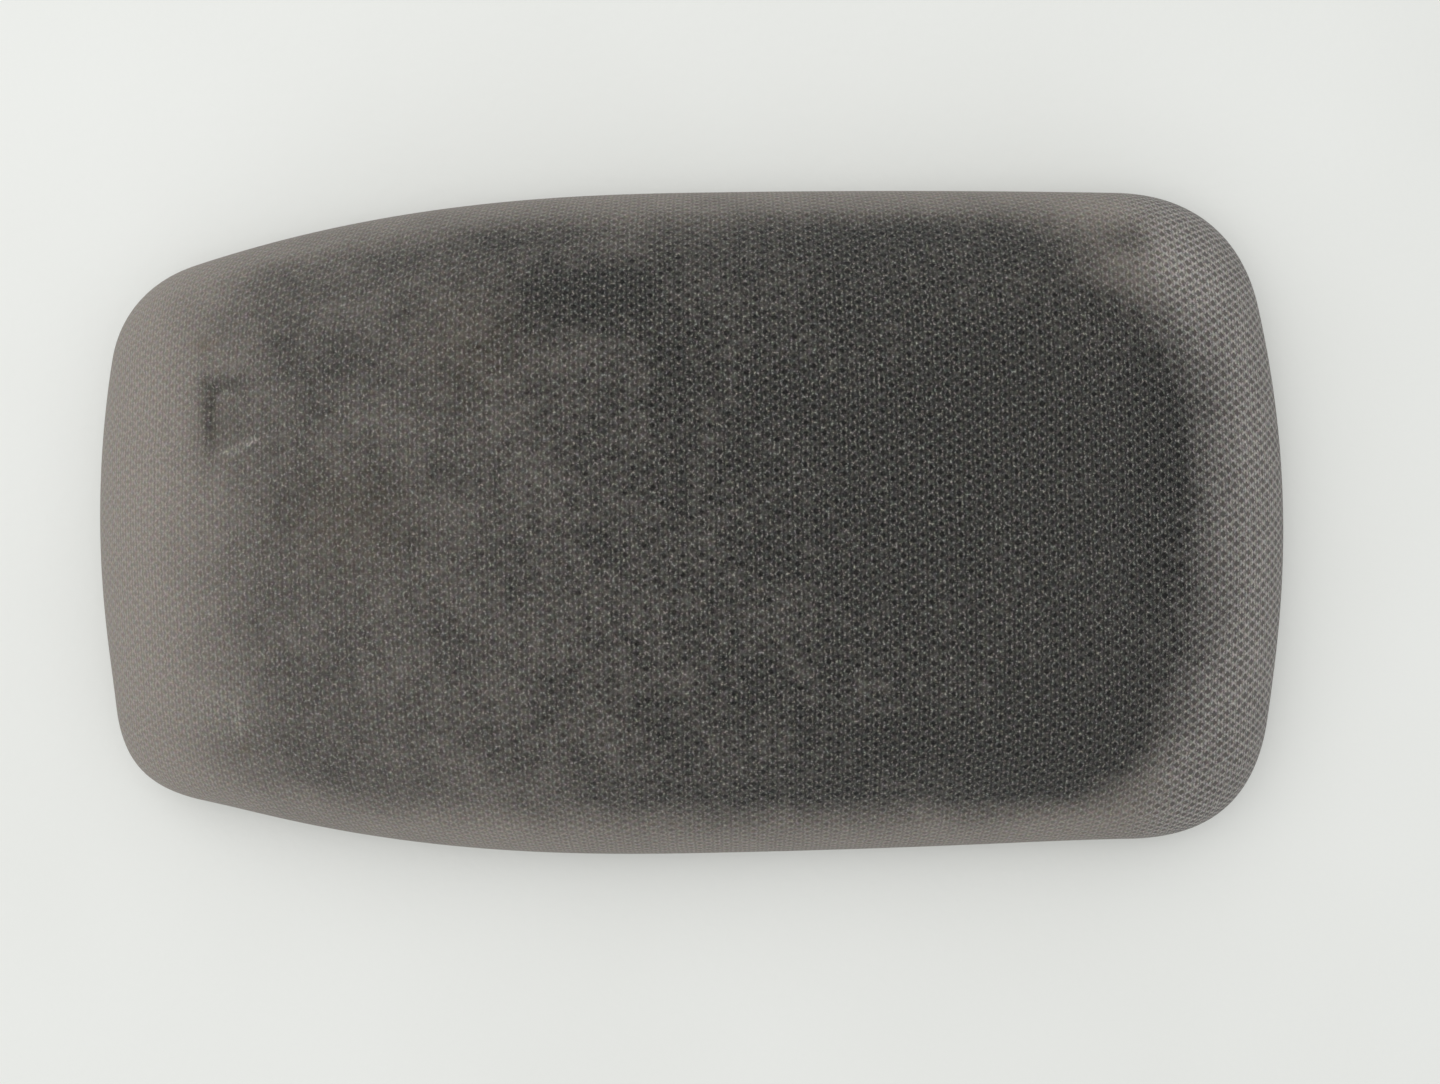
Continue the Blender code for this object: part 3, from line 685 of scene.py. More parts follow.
# How handling darkens the top. A pair is where a change begins and where it is complete, and a
# list adds up changes, each as (share, begins, complete). TOP_SOIL is the least and what is added.
SOIL_SHIFT = 1.5 * MM
REAR_CLEAN = 48 * MM
SIDE_CLEAN = 56 * MM
REAR_CORNERS = (90 * MM, 24 * MM)
REAR_FADE = (0.26, 0.90)
SIDE_SOIL = [(0.30, 2 * MM, 11 * MM), (0.70, 8 * MM, 19 * MM)]
FRONT_SOIL = [(0.66, 16 * MM, 70 * MM), (0.34, 60 * MM, 230 * MM)]
THIN_SOIL = [(0.22, 10 * MM, 60 * MM)]
TOP_SOIL = (0.04, 0.73)
MOST_SOIL = 1.1

# How open the knit is along x, in the same way. It also sets where light and shade are painted
# towards the rear.
OPENNESS = [(0.4, -110 * MM, -10 * MM), (0.6, 108 * MM, 140 * MM)]

# Marks on the top, in millimetres, as (x, y, radius along x, radius along y, strength).
DARK_MARKS = [
    (-26, 60, 18, 9, 0.26),
    (7, 31, 26, 20, 0.08),
    (66, -2, 40, 14, 0.08),
    (76, 27, 32, 20, 0.12),
    (108, -64, 24, 14, 0.40),
    (128, 62, 18, 14, -0.22),
    (-52, -76, 30, 12, -0.15),
    (-50, 80, 18, 7, 0.12),
    (-12, 78, 14, 8, -0.14),
    (120, 14, 10, 32, 0.16),
    (119, 74, 7, 5, 0.40),
    # The next two are shade painted along the pressed mark's left and top walls.
    (-126, 30, 2.2, 10, 0.38),
    (-121, 38, 6, 2.4, 0.30),
    (-121, 27, 6, 9, 0.10),
    (-100, 45, 12, 9, 0.10),
]
BROWN_MARKS = [
    (-128, 49, 3.0, 2.2, 0.40),
    (-88, 2, 16, 14, 0.16),
    (-56, 47, 14, 14, 0.12),
    (-124, 28, 6, 12, 0.08),
    (-119, -58, 1.2, 1.5, 0.6),
]
BEIGE_MARKS = [
    (-125, -47, 9, 6, 0.26),
    (-120, -50, 0.9, 6, 0.5),
    (-121.5, 20, 1.3, 0.7, 1.0),
    (-118.5, 20.8, 1.3, 0.7, 1.0),
    (-116, 22, 1.3, 0.7, 1.0),
    (-113.5, 23.2, 1.3, 0.8, 1.0),
    (-121.8, 35.5, 1.6, 0.8, 0.5),
]


def marked(x, y, marks):
    """The strength of soft round marks at points in plan."""
    total = np.zeros_like(x)
    for centre_x, centre_y, radius_x, radius_y, strength in marks:
        off_x = (x - centre_x * MM) / (radius_x * MM)
        off_y = (y - centre_y * MM) / (radius_y * MM)
        total += strength * np.exp(-(off_x**2 + off_y**2))
    return total


def summed_steps(value, steps):
    """The sum of soft steps, each given as its share and where it begins and is complete."""
    return sum(share * soft_step(value, low, high) for share, low, high in steps)


def handling(x, y):
    """How much handling has darkened the top: most at the middle and rear, least at the front."""
    side = side_distance(x, y) + SOIL_SHIFT * np.sign(y)
    rear = end_distance(np.abs(x), y) + np.where(x < 0, LENGTH, 0)
    front = LENGTH / 2 + x
    near_rear = 1 - np.clip(rear / REAR_CLEAN, 0, 1)
    near_side = (1 - np.clip(side / SIDE_CLEAN, 0, 1)) * soft_step(rear, *REAR_CORNERS)
    rear_share = soft_step(1 - np.hypot(near_rear, near_side), *REAR_FADE)
    least, more = TOP_SOIL
    top = least + more * summed_steps(front, FRONT_SOIL)
    return summed_steps(front, THIN_SOIL) + summed_steps(side, SIDE_SOIL) * rear_share * top


def paint_soil_light_and_shade(cover, outer_count):
    """Stores handling, dark marks with the shade painted along the pressed mark's edges, brown
    marks, scuffs and the knit's openness, which also places the painted rear light and shade, as
    one attribute's channels.

    Points after the first outer_count, apart from the two poles, are inside and stay clean.
    """
    points = np.array([vertex.co for vertex in cover.data.vertices])
    x, y = points[:, 0], points[:, 1]
    channels = np.zeros((len(points), 4))
    # Handling and dark marks, with the shade painted along the pressed mark's edges.
    channels[:, 0] = np.clip(handling(x, y) + marked(x, y, DARK_MARKS), 0, MOST_SOIL)
    channels[:, 1] = marked(x, y, BROWN_MARKS)
    channels[:, 2] = marked(x, y, BEIGE_MARKS)
    channels[:, 3] = summed_steps(x, OPENNESS)
    channels[outer_count:-2, :3] = 0
    soil_light_and_shade = cover.data.attributes.new("soil_light_and_shade", "FLOAT_COLOR", "POINT")
    soil_light_and_shade.data.foreach_set("color", channels.astype(np.float32).ravel())


# -------- the pad swelling under its cloth

# The most the crown swells by, how finely the simulated cage is divided, how hard it is pressed
# from inside and for how many frames, and how often its moves are smoothed.
SWELL = 1.2 * MM
CAGE_RAYS = 96
CAGE_FLAT = 8
CAGE_FALL = 18
CAGE_PRESSURE = 1.0
CAGE_FRAMES = 16
SMOOTHING_PASSES = 12


def cage():
    """A coarse closed bag on the cover's outside, with everything below the crown held still."""
    rays = directions(CAGE_RAYS)
    loops = dome(rays, 0, CLOTH_SPRING, HEIGHT - SWELL, CAGE_FLAT, CAGE_FALL)
    free = (len(loops) - 1) * CAGE_RAYS
    loops.append(edge_ring(rays, 0, HEM_BOTTOM + HEM_ROLL))
    loops.append(edge_ring(rays, HEM_INSET, HEM_BOTTOM))
    bag = skin("cage", loops)
    crown_pole = len(bag.data.vertices) - 2
    held = bag.vertex_groups.new(name="held")
    held.add([i for i in range(free, len(bag.data.vertices)) if i != crown_pole], 1.0, "REPLACE")
    return bag


def swelling():
    """How the crown moves as its cloth is pressed out, by loop and ray, and SWELL at the most."""
    levels = CAGE_FLAT + CAGE_FALL
    bag = cage()
    start = np.array([vertex.co for vertex in bag.data.vertices])
    cloth = bag.modifiers.new("cloth", "CLOTH")
    settings = cloth.settings
    settings.vertex_group_mass = "held"
    settings.use_pressure = True
    settings.uniform_pressure_force = CAGE_PRESSURE
    settings.effector_weights.gravity = 0
    cloth.point_cache.frame_start = 1
    cloth.point_cache.frame_end = CAGE_FRAMES
    for moment in range(1, CAGE_FRAMES + 1):
        bpy.context.scene.frame_set(moment)
    settled = bag.evaluated_get(bpy.context.evaluated_depsgraph_get())
    moves = np.array([vertex.co for vertex in settled.data.vertices]) - start
    bpy.context.scene.frame_set(1)
    bpy.data.objects.remove(bag, do_unlink=True)
    moves = moves[: levels * CAGE_RAYS].reshape(levels, CAGE_RAYS, 3)
    return moves * SWELL / max(SWELL, np.linalg.norm(moves, axis=2).max())


def spread(moves, levels, count):
    """The cage's moves at these of its levels and for this many rays, smoothed."""
    known = np.arange(1, len(moves) + 1)
    turn = np.arange(count) * CAGE_RAYS / count
    wrapped = np.concatenate([moves, moves[:, :1]], axis=1)
    fine = np.zeros((len(levels), count, 3))
    for axis in range(3):
        rows = [np.interp(turn, np.arange(CAGE_RAYS + 1), row) for row in wrapped[:, :, axis]]
        columns = [np.interp(levels, known, column) for column in np.array(rows).T]
        fine[:, :, axis] = np.array(columns).T
    for _ in range(SMOOTHING_PASSES):
        fine = (np.roll(fine, 1, axis=1) + 2 * fine + np.roll(fine, -1, axis=1)) / 4
        padded = np.concatenate([fine[:1], fine, fine[-1:]])
        fine = (padded[:-2] + 2 * padded[1:-1] + padded[2:]) / 4
    return fine


def soft_dome(crown_moves, rays, inset, flat_steps, fall_steps):
    """Loops this deep under the cloth's outside, swollen as the cage was and with the relief."""
    loops = dome(rays, inset, CLOTH_SPRING, HEIGHT - SWELL - inset, flat_steps, fall_steps)
    levels = [CAGE_FLAT * step / flat_steps for step in range(1, flat_steps + 1)]
    levels += [CAGE_FLAT + CAGE_FALL * step / fall_steps for step in range(1, fall_steps + 1)]
    moves = spread(crown_moves, levels, len(rays))
    return filled(uneven([loop + move for loop, move in zip(loops, moves)]))


# -------- the cloth cover

# The sides are divided at these shares, the roll in so many steps, and the hem in so many loops,
# the last of them at the cloth's cut edge. That edge is rounded by so much.
SIDE_SHARES = (0.35, 0.7, 1.0)
ROLL_STEPS = 8
HEM_LOOPS = 6
HEM_ROUNDING = 0.1 * MM


def outline_normals(rays):
    """The outline's outward direction in plan, where each ray meets it."""
    edge = edge_ring(rays, 0, 0)[:, :2]
    along = np.roll(edge, -1, axis=0) - np.roll(edge, 1, axis=0)
    normal = np.stack([along[:, 1], -along[:, 0]], axis=1)
    return normal / np.linalg.norm(normal, axis=1)[:, None]


def cover_sides(rays):
    """Loops down the sides and round the rolled lower edge."""
    loops = []
    roll_top = HEM_BOTTOM + HEM_ROLL
    for share in SIDE_SHARES:
        loops.append(edge_ring(rays, 0, CLOTH_SPRING + (roll_top - CLOTH_SPRING) * share))
    for turn in np.radians(np.linspace(0, 90, ROLL_STEPS + 1)[1:]):
        inset = HEM_ROLL * (1 - math.cos(turn))
        loops.append(edge_ring(rays, inset, roll_top - HEM_ROLL * math.sin(turn)))
    return filled(loops)


def cover_hem(rays):
    """Loops in under the rim, round the hem's cut edge and back to the side."""
    folded_in = np.linspace(HEM_ROLL, HEM_INSET, HEM_LOOPS + 1)[1:]
    loops = [edge_ring(rays, inset, HEM_BOTTOM) for inset in folded_in]
    loops.append(edge_ring(rays, HEM_INSET + HEM_ROUNDING, HEM_BOTTOM + HEM / 2))
    loops.append(edge_ring(rays, HEM_INSET, HEM_BOTTOM + HEM))
    loops.append(edge_ring(rays, CLOTH, HEM_BOTTOM + HEM))
    return filled(loops)


def cloth_lay(loops, rays):
    """Where each point was on the cloth while it was flat, in metres."""
    normals = outline_normals(rays)
    out = [np.linalg.norm(loop[:, :2] - [CROWN_X, 0], axis=1) for loop in loops]
    steps = [np.linalg.norm(after - before, axis=1) for before, after in zip(loops, loops[1:])]
    spare = np.cumsum([out[0], *steps], axis=0) - out
    return [loop[:, :2] + normals * extra[:, None] for loop, extra in zip(loops, spare)]


def weave_map(cover, lays):
    """Gives every corner of every face its place on the flat cloth."""
    spots = np.concatenate([*lays, [lays[0].mean(axis=0)], [lays[-1].mean(axis=0)]])
    layer = cover.data.uv_layers.new(name="weave")
    corner_vertex = np.zeros(len(cover.data.loops), dtype=int)
    cover.data.loops.foreach_get("vertex_index", corner_vertex)
    layer.data.foreach_set("uv", spots[corner_vertex].astype(np.float32).ravel())


def fabric_cover(crown_moves):
    """The cover, and the outline its cloth was cut to before it was pulled over the pad."""
    rays = directions(COVER_RAYS)
    outside = soft_dome(crown_moves, rays, 0, *COVER_STEPS) + cover_sides(rays)
    lining = soft_dome(crown_moves, rays, CLOTH, *LINING_STEPS)
    loops = outside + cover_hem(rays) + lining[::-1]
    cover = skin("cloth_cover", loops, 60)
    lays = cloth_lay(loops, rays)
    weave_map(cover, lays)
    paint_soil_light_and_shade(cover, len(outside) * COVER_RAYS)
    cover.data.materials.append(cloth_material())
    stand_in(cover, "fabric_cover")
    return cover, lays[len(outside) + HEM_LOOPS - 1]


# -------- the foam

FOAM_CELL = 1.1 * MM
FOAM_FOOT_LOOPS = 4


def foam_material():
    """Open-celled foam that has yellowed in patches, with shade painted into its pores."""
    graph = Graph("open_cell_foam", 0.95)
    spot = graph.place()
    cells = graph.node("TexVoronoi", {"Vector": spot, "Scale": 1 / FOAM_CELL})
    pores = graph.smooth(Signal(graph, cells.outputs["Distance"]), 0.1, 0.6)
    age, _ = graph.noise(spot, 40 * MM, 3.0)
    fresh, aged = shade(206, 196, 164), shade(184, 164, 116)
    colour = graph.mix(fresh, aged, age)
    # Painted shade in the pores.
    colour = graph.mix(colour, shade(120, 106, 74), (1 - pores) * 0.6)
    return graph.finish(colour, pores, 0.25 * MM)


def foam_pad(crown_moves):
    """The pad that fills the space between the cloth and the shell."""
    rays = directions(FOAM_RAYS)
    skin_depth = CLOTH + GAP
    bore_inset = SHELL_INSET - GAP
    outside = soft_dome(crown_moves, rays, skin_depth, *FOAM_STEPS)
    across_foot = np.linspace(skin_depth, bore_inset, FOAM_FOOT_LOOPS)
    foot = filled([edge_ring(rays, inset, FOAM_BOTTOM) for inset in across_foot])
    bore = dome(rays, bore_inset, SHELL_SPRING, SHELL_TOP + GAP, *LINING_STEPS)
    foam = skin("foam_core", outside + foot + bore[::-1], 50)
    foam.data.materials.append(foam_material())
    stand_in(foam, "foam_pad")
    return foam


def soft_top():
    """The cloth and the foam under it, both swollen alike."""
    crown_moves = swelling()
    cover, cut_edge = fabric_cover(crown_moves)
    foam = foam_pad(crown_moves)


# -------- the inner panel

# The panel's distances in from the outline, and heights, as the CAD has them.
PANEL_WALL = 2.2 * MM
PANEL_INSET = 14 * MM
PANEL_DRAFT = 1.2 * MM
PANEL_CORNER = 2.8 * MM
PANEL_FLOOR = PANEL_TOP - 2.4 * MM
FLANGE_TOP = PANEL_BOTTOM + 1.8 * MM
FLANGE_EDGE = 0.6 * MM

PANEL_GRAIN = 0.9 * MM

# How far a drill bit reaches past what it goes through, and past the flange.
OVERCUT = 2 * MM
FLANGE_OVERCUT = 0.5 * MM

# A bumper's head and stud radii.
BUMPER_HEAD = 3.8 * MM
BUMPER_STUD = 1.5 * MM

# Every kind of screw, as (start of its nodes' names, shank radius, head height).
SCREWS = [
    ("inner_panel_screw", 1.6 * MM, 2.0 * MM),
    ("latch_housing_screw", 1.6 * MM, 2.0 * MM),
    ("hinge_leaf_screw", 2.0 * MM, 2.4 * MM),
]


def rounded(corner, before, after, steps=5):
    """(inset, height) pairs on a curve round a corner, between these offsets from it."""
    points = [(corner[0] + inset, corner[1] + height) for inset, height in (before, (0, 0), after)]
    pairs = []
    for step in range(steps + 1):
        t = step / steps
        weights = ((1 - t) ** 2, 2 * t * (1 - t), t * t)
        pairs.append(tuple(sum(w * p[k] for w, p in zip(weights, points)) for k in (0, 1)))
    return pairs


def panel_section():
    """The inner panel's (inset, height) pairs, from its top over wall and flange to its floor."""
    outer = PANEL_INSET + PANEL_DRAFT
    inner = outer + PANEL_WALL
    lip = PANEL_INSET + PANEL_WALL
    return [
        *rounded((outer, PANEL_TOP), (PANEL_CORNER, 0), (0, -PANEL_CORNER)),
        *rounded((PANEL_INSET, FLANGE_TOP), (0, FLANGE_EDGE), (-FLANGE_EDGE, 0), 3),
        *rounded((FLANGE_INSET, FLANGE_TOP), (GAP, 0), (0, -GAP), 3),
        *rounded((FLANGE_INSET, PANEL_BOTTOM), (0, FLANGE_EDGE), (FLANGE_EDGE, 0)),
        (lip - 2 * FLANGE_EDGE, PANEL_BOTTOM),
        *rounded((lip, PANEL_BOTTOM), (-FLANGE_EDGE, 0), (0, FLANGE_EDGE)),
        *rounded((inner, PANEL_FLOOR), (0, -PANEL_CORNER), (PANEL_CORNER, 0)),
    ]


def middle(node):
    """The middle of a CAD node's box."""
    low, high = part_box(node)
    return (low + high) / 2


def nodes_named(start):
    """The CAD nodes whose names start so, in order."""
    return sorted(name for name in frame["nodes"] if name.startswith(start))


def panel_holes():
    """Drill bits for every screw and bumper that goes through the inner panel."""
    through = (PANEL_FLOOR - OVERCUT, PANEL_TOP + OVERCUT)
    holes = [(start, shank + GAP, *through) for start, shank, _ in SCREWS]
    in_flange = (PANEL_BOTTOM - OVERCUT, FLANGE_TOP + FLANGE_OVERCUT)
    holes.append(("bumper", BUMPER_STUD + GAP, *in_flange))
    bits = []
    for start, *hole in holes:
        bits += [drill_bit(middle(name)[:2], *hole) for name in nodes_named(start)]
    return bits


def grained_plastic(name, colour, worn, roughness):
    """Moulded plastic with a fine leather-like grain that scuffs a little lighter."""
    graph = Graph(name, roughness)
    spot = graph.place()
    scale = {"Vector": spot, "Scale": 1 / PANEL_GRAIN}
    cells = graph.node("TexVoronoi", scale, feature="DISTANCE_TO_EDGE")
    grain = graph.smooth(Signal(graph, cells.outputs["Distance"]), 0.0, 0.28)
    scuffs, _ = graph.noise(spot, 22 * MM, 4.0, 0.65)
    tone = graph.mix(colour, worn, graph.smooth(scuffs, 0.48, 0.8) * grain)
    return graph.finish(tone, grain, 0.06 * MM, roughness + 0.12 - grain * 0.12)


def inner_panel():
    """The recessed lining, with its flange over the hem and its holes."""
    rays = directions(PANEL_RAYS)
    loops = [edge_ring(rays, inset, height) for inset, height in panel_section()]
    panel = skin("panel_lining", loops, 35)
    cut(panel, panel_holes())
    shaded(panel, 35)
    dark, worn = shade(46, 45, 44), shade(66, 65, 63)
    panel.data.materials.append(grained_plastic("grained_polypropylene", dark, worn, 0.58))
    stand_in(panel, "inner_panel")


# -------- bumpers and screws

BUMPER_SIDES = 48
BUMPER_RIM = 0.35 * MM
SCREW_SIDES = 36
THREAD_PITCH = 1.2 * MM

# A screw's head: the height of its rim, the angles its dome spans, and its undercut.
HEAD_RIM = 0.45
HEAD_DOME = (18, 90)
HEAD_UNDERCUT = 0.15 * MM

# The radii of its shank under the head, between threads and at the tip, as shares of the shank's.
NECK_SHARE = 0.8
ROOT_SHARE = 0.78
TIP_SHARE = 0.7

# The cross recess, as shares of the head: its reach and half width of the radius, its depth of the
# height.
RECESS_REACH = 0.56
RECESS_HALF_WIDTH = 0.13
RECESS_DEPTH = 0.62

# Noise in plated and drawn metal, as wavelengths.
METAL_STREAK = 0.6 * MM
METAL_CLOUD = 8 * MM


def rubber_material():
    """Black rubber, paler where dust has settled."""
    graph = Graph("moulded_rubber", 0.78)
    spot = graph.place()
    dust, _ = graph.noise(spot, 2.5 * MM, 3.0)
    skin_grain, _ = graph.noise(spot, 0.3 * MM, 2.0)
    colour = graph.mix(shade(30, 30, 30), shade(62, 60, 57), graph.smooth(dust, 0.5, 0.85))
    return graph.finish(colour, skin_grain, 0.03 * MM)


def bumpers():
    """Rubber feet: a domed head with a ring groove, and a stud through the panel's flange."""
    under_flange = PANEL_BOTTOM - GAP
    profile = [
        (0, 0.10 * MM),
        (0.9 * MM, 0.10 * MM),
        (1.1 * MM, 0),
        (BUMPER_HEAD - 0.9 * MM, 0),
        *arc((BUMPER_HEAD - BUMPER_RIM, BUMPER_RIM), BUMPER_RIM, -90, 0, 6),
        (BUMPER_HEAD, under_flange - 0.1 * MM),
        (BUMPER_HEAD - 0.1 * MM, under_flange),
        (BUMPER_STUD, under_flange),
        (BUMPER_STUD, FLANGE_TOP - GAP),
        (BUMPER_STUD - 0.2 * MM, FLANGE_TOP - GAP / 2),
        (0, FLANGE_TOP - GAP / 2),
    ]
    mesh = turned_mesh("bumper", profile, BUMPER_SIDES)
    mesh.materials.append(rubber_material())
    for node in nodes_named("bumper"):
        foot = new_object(node.replace("bumper", "rubber_foot"), mesh)
        foot.location = (*middle(node)[:2], 0)
        shaded(foot, 45)
        stand_in(foot, node)


def metal(name, dark, light, roughness):
    """Plated or drawn metal: fine streaks, cloudy tone, and a roughness that wanders."""
    graph = Graph(name, roughness, 1.0)
    spot = graph.place()
    cloud, _ = graph.noise(spot, METAL_CLOUD, 4.0, 0.6)
    fine, _ = graph.noise(spot, METAL_STREAK, 3.0, 0.6)
    colour = graph.mix(dark, light, graph.smooth(cloud * 0.7 + fine * 0.3, 0.3, 0.7))
    return graph.finish(colour, fine, 0.015 * MM, roughness - 0.1 + cloud * 0.2)


def screw_profile(head_radius, head_height, shank_radius, tip):
    """A pan-head screw's (radius, height) pairs, head down, with the head's seat at height 0."""
    profile = [(0, -head_height)]
    for a in np.radians(np.linspace(*HEAD_DOME, 8)):
        height = -head_height * (HEAD_RIM + (1 - HEAD_RIM) * math.cos(a))
        profile.append((head_radius * math.sin(a), height))
    profile += [(head_radius, -0.1 * head_height), (head_radius - HEAD_UNDERCUT, 0)]
    profile.append((shank_radius * NECK_SHARE, 0))
    height = THREAD_PITCH
    while height < tip - 3 * THREAD_PITCH:
        for share, pitches in ((ROOT_SHARE, -0.5), (1, 0), (ROOT_SHARE, 0.5)):
            profile.append((share * shank_radius, height + pitches * THREAD_PITCH))
        height += THREAD_PITCH
    profile.append((TIP_SHARE * shank_radius, tip - 2 * THREAD_PITCH))
    profile.append((0, tip - GAP))
    return profile


def screw_mesh(name, head_radius, head_height, shank_radius, tip):
    """A pan-head screw about its own axis, head down, with a cross recess and a threaded shank."""
    profile = screw_profile(head_radius, head_height, shank_radius, tip)
    screw = new_object(name, turned_mesh(name, profile, SCREW_SIDES))
    long, thin = RECESS_REACH * head_radius, RECESS_HALF_WIDTH * head_radius
    depth = RECESS_DEPTH * head_height
    low, high = -2 * head_height, depth - head_height
    cut(screw, [box((-x, -y, low), (x, y, high)) for x, y in ((long, thin), (thin, long))])
    mesh = screw.data
    bpy.data.objects.remove(screw)
    return mesh


def screws():
    """Every screw, from one mesh for each kind, black in the plastic and bright in the steel."""
    black = metal("black_zinc", shade(38, 38, 40), shade(62, 62, 64), 0.42)
    bright = metal("yellowed_zinc", shade(176, 170, 148), shade(206, 202, 186), 0.34)
    for start, shank, head_height in SCREWS:
        in_steel = start == "hinge_leaf_screw"
        low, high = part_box(nodes_named(start)[0])
        tip = high.z - low.z - head_height
        mesh = screw_mesh(start, (high.x - low.x) / 2, head_height, shank, tip)
        mesh.materials.clear()
        mesh.materials.append(bright if in_steel else black)
        for node in nodes_named(start):
            piece = new_object(node.replace("_screw_", "_cross_screw_"), mesh)
            piece.location = (*middle(node)[:2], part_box(node)[0].z + head_height)
            shaded(piece, 35)
            stand_in(piece, node)


# -------- springs

# A coil has a point every so many degrees, and a leg so many points.
COIL_STEP = 12
LEG_POINTS = 6

# Each kind of spring, as (start of its nodes' names, wire radius, turns, first leg, last leg, the
# bodies it joins). A leg is the angle in degrees at which it leaves the coil, and its length.
SPRINGS = [
    ("torsion_spring", 0.8 * MM, 12, (276, 10 * MM), (102, 15 * MM), ("base", "lid")),
    ("latch_spring", 0.38 * MM, 4, (84, 6 * MM), (264, 6 * MM), ("lid", "latch")),
]


def wound(axis, mean_radius, start_y, end_y, turns, first_leg, last_leg):
    """The points of a coil about an axis along Y, with a straight leg at each end."""
    sweep = 360 * turns + (last_leg[0] - first_leg[0]) % 360
    steps = int(sweep / COIL_STEP)
    points = []
    for step in range(steps + 1):
        angle = math.radians(first_leg[0] + sweep * step / steps)
        x = axis.x + mean_radius * math.cos(angle)
        y = start_y + (end_y - start_y) * step / steps
        z = axis.z + mean_radius * math.sin(angle)
        points.append((x, y, z))
    last = straight_leg(points[-1], *last_leg, -1)
    return straight_leg(points[0], *first_leg, 1)[::-1] + points + last


def straight_leg(root, degrees, length, sense):
    """The points of a leg along the coil's tangent, away from where it leaves the coil."""
    turn = math.radians(degrees)
    way = Vector((math.sin(turn), 0, -math.cos(turn))) * sense
    return [tuple(Vector(root) + way * length * k / LEG_POINTS) for k in range(1, LEG_POINTS + 1)]


def spring(node, wire_radius, turns, first_leg, last_leg, bodies, finish):
    """One torsion spring that fills its CAD envelope. The bodies it is given are not used."""
    low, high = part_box(node)
    outward = 1 if middle(node).y > 0 else -1
    near, far = sorted((low.y + wire_radius, high.y - wire_radius), key=abs)
    mean_radius = (high.z - low.z) / 2 - wire_radius
    points = wound(middle(node), mean_radius, near, far, turns, first_leg, last_leg)
    coil = wire(node.replace("spring", "coil"), points, wire_radius)
    coil.data.materials.append(finish)
    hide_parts(node)
    start = (0, near + outward * wire_radius, 0)
    end = (0, far - outward * wire_radius, 0)
    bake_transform(coil)


def springs():
    """Every spring, in the same drawn steel."""
    drawn = metal("drawn_spring_steel", shade(92, 92, 94), shade(140, 140, 142), 0.32)
    for kind, *rest in SPRINGS:
        for node in nodes_named(kind):
            spring(node, *rest, drawn)


# -------- CAD pieces that keep their shape

EDGE_BREAK = 0.3 * MM
EDGE_ANGLE = 40


def edge_break(node):
    """Rounds a CAD node's edges without touching its mesh."""
    obj = frame["nodes"][node]
    weld = obj.modifiers.new("joined", "WELD")
    weld.merge_threshold = SAME_POINT
    edge = obj.modifiers.new("edge_break", "BEVEL")
    edge.width = EDGE_BREAK
    edge.segments = 2
    edge.limit_method = "ANGLE"
    edge.angle_limit = math.radians(EDGE_ANGLE)


def dress(node, material):
    """Gives a CAD node this material and no other."""
    obj = frame["nodes"][node]
    obj.data.materials.clear()
    obj.data.materials.append(material)


def satin_plastic(name, dark, light, roughness):
    """Plain moulded plastic: a spark-eroded texture and faint handling marks."""
    graph = Graph(name, roughness)
    spot = graph.place()
    texture, _ = graph.noise(spot, 0.35 * MM, 2.0)
    marks, _ = graph.noise(spot, 9 * MM, 4.0, 0.6)
    colour = graph.mix(dark, light, marks)
    return graph.finish(colour, texture, 0.02 * MM, roughness - 0.1 + marks * 0.2)


def cad_pieces():
    """The materials of the pieces whose CAD shape is kept, and broken edges on the larger ones."""
    zinc = metal("zinc_plated_steel", shade(172, 170, 160), shade(206, 204, 196), 0.36)
    drawn = metal("bright_drawn_steel", shade(120, 120, 122), shade(164, 164, 166), 0.3)
    acetal = satin_plastic("black_acetal", shade(34, 34, 35), shade(48, 48, 49), 0.45)
    nylon = satin_plastic("natural_nylon", shade(214, 210, 200), shade(228, 225, 216), 0.5)
    tray = satin_plastic("black_polypropylene", shade(36, 36, 38), shade(50, 50, 51), 0.55)
    for material, nodes in (
        (zinc, ("hinge_base", "hinge_leaf")),
        (drawn, ("hinge_pin", "hinge_clip_left", "hinge_clip_right", "latch_pivot_pin")),
        (nylon, ("hinge_bushing_left", "hinge_bushing_right")),
        (acetal, ("latch_housing", "latch_lever")),
        (tray, ("lid_shell",)),
    ):
        for node in nodes:
            dress(node, material)
    for node in ("hinge_base", "hinge_leaf", "latch_housing"):
        edge_break(node)


# -------- floor, light and camera

FLOOR_HALF = 3.0
SKY_COLOUR = (0.98, 0.99, 1.0, 1)
SKY_STRENGTH = 0.74

# The lamp, which looks at the origin.
LAMP_PLACE = (-0.35, 0.25, 1.3)
LAMP_SIZE = 1.6
LAMP_WATTS = 7

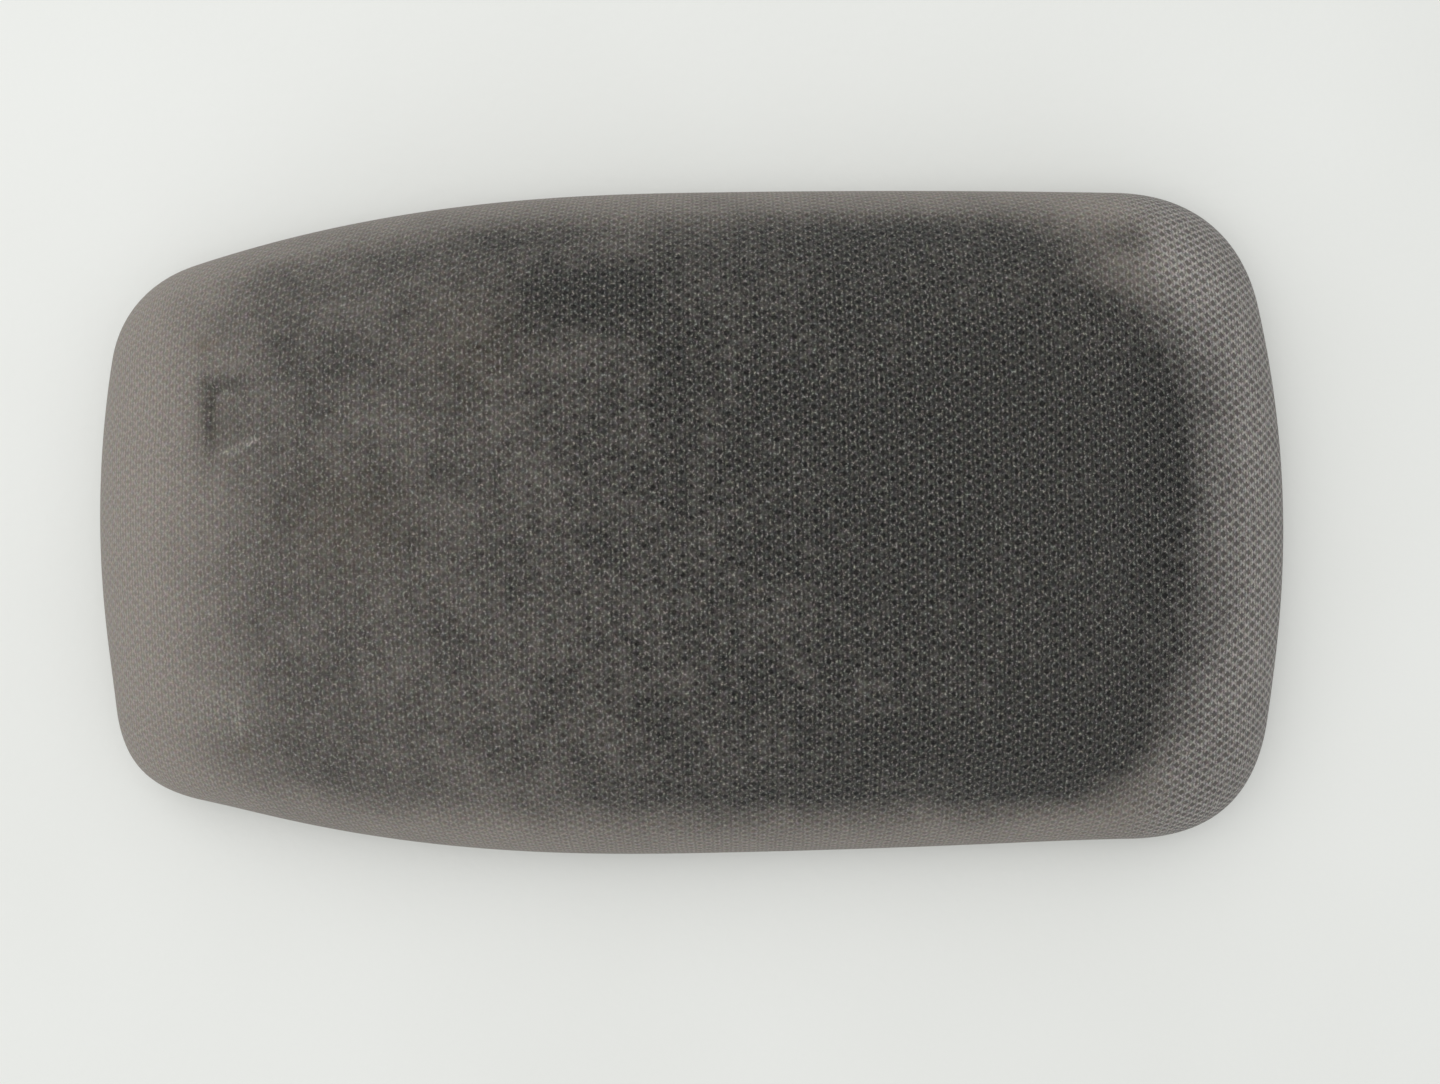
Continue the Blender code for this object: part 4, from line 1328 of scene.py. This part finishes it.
# The camera looks straight down, turned a little about its own axis.
CAMERA_PLACE = (7.7 * MM, -5.5 * MM, 522.6 * MM)
CAMERA_TURN = -1.07
FOCAL_LENGTH = 45
SENSOR_WIDTH = 36


def floor_material():
    """Off-white paint with a faint orange peel."""
    graph = Graph("painted_floor", 0.45)
    spot = graph.place()
    cloud, _ = graph.noise(spot, 160 * MM, 3.0)
    peel, _ = graph.noise(spot, 3.5 * MM, 2.0)
    colour = graph.mix(shade(229, 230, 225), shade(240, 241, 237), cloud)
    return graph.finish(colour, peel, 0.12 * MM)


def floor():
    """A plain square of floor at height 0."""
    signs = ((-1, -1), (1, -1), (1, 1), (-1, 1))
    mesh = bpy.data.meshes.new("floor")
    mesh.from_pydata([(x * FLOOR_HALF, y * FLOOR_HALF, 0) for x, y in signs], [], [(0, 1, 2, 3)])
    ground = new_object("floor", mesh)
    ground.data.materials.append(floor_material())


def lamp():
    """One large square lamp overhead."""
    light = bpy.data.lights.new("key", "AREA")
    light.shape = "SQUARE"
    light.size = LAMP_SIZE
    light.energy = LAMP_WATTS
    obj = new_object("key", light)
    obj.location = LAMP_PLACE
    obj.rotation_euler = (-Vector(LAMP_PLACE)).to_track_quat("-Z", "Y").to_euler()


def world():
    """Soft light from every side."""
    sky = bpy.data.worlds.new("soft_room")
    sky.use_nodes = True
    background = sky.node_tree.nodes["Background"]
    background.inputs["Color"].default_value = SKY_COLOUR
    background.inputs["Strength"].default_value = SKY_STRENGTH
    bpy.context.scene.world = sky


def camera():
    """The camera straight above the lid."""
    lens = bpy.data.cameras.new("camera")
    lens.lens = FOCAL_LENGTH
    lens.sensor_width = SENSOR_WIDTH
    eye = new_object("camera", lens)
    eye.location = CAMERA_PLACE
    eye.rotation_euler = (0, 0, math.radians(CAMERA_TURN))
    bpy.context.scene.camera = eye


# -------- the whole scene

soft_top()
inner_panel()
bumpers()
screws()
springs()
cad_pieces()
floor()
world()
lamp()
camera()
bpy.context.scene.view_settings.view_transform = "Standard"
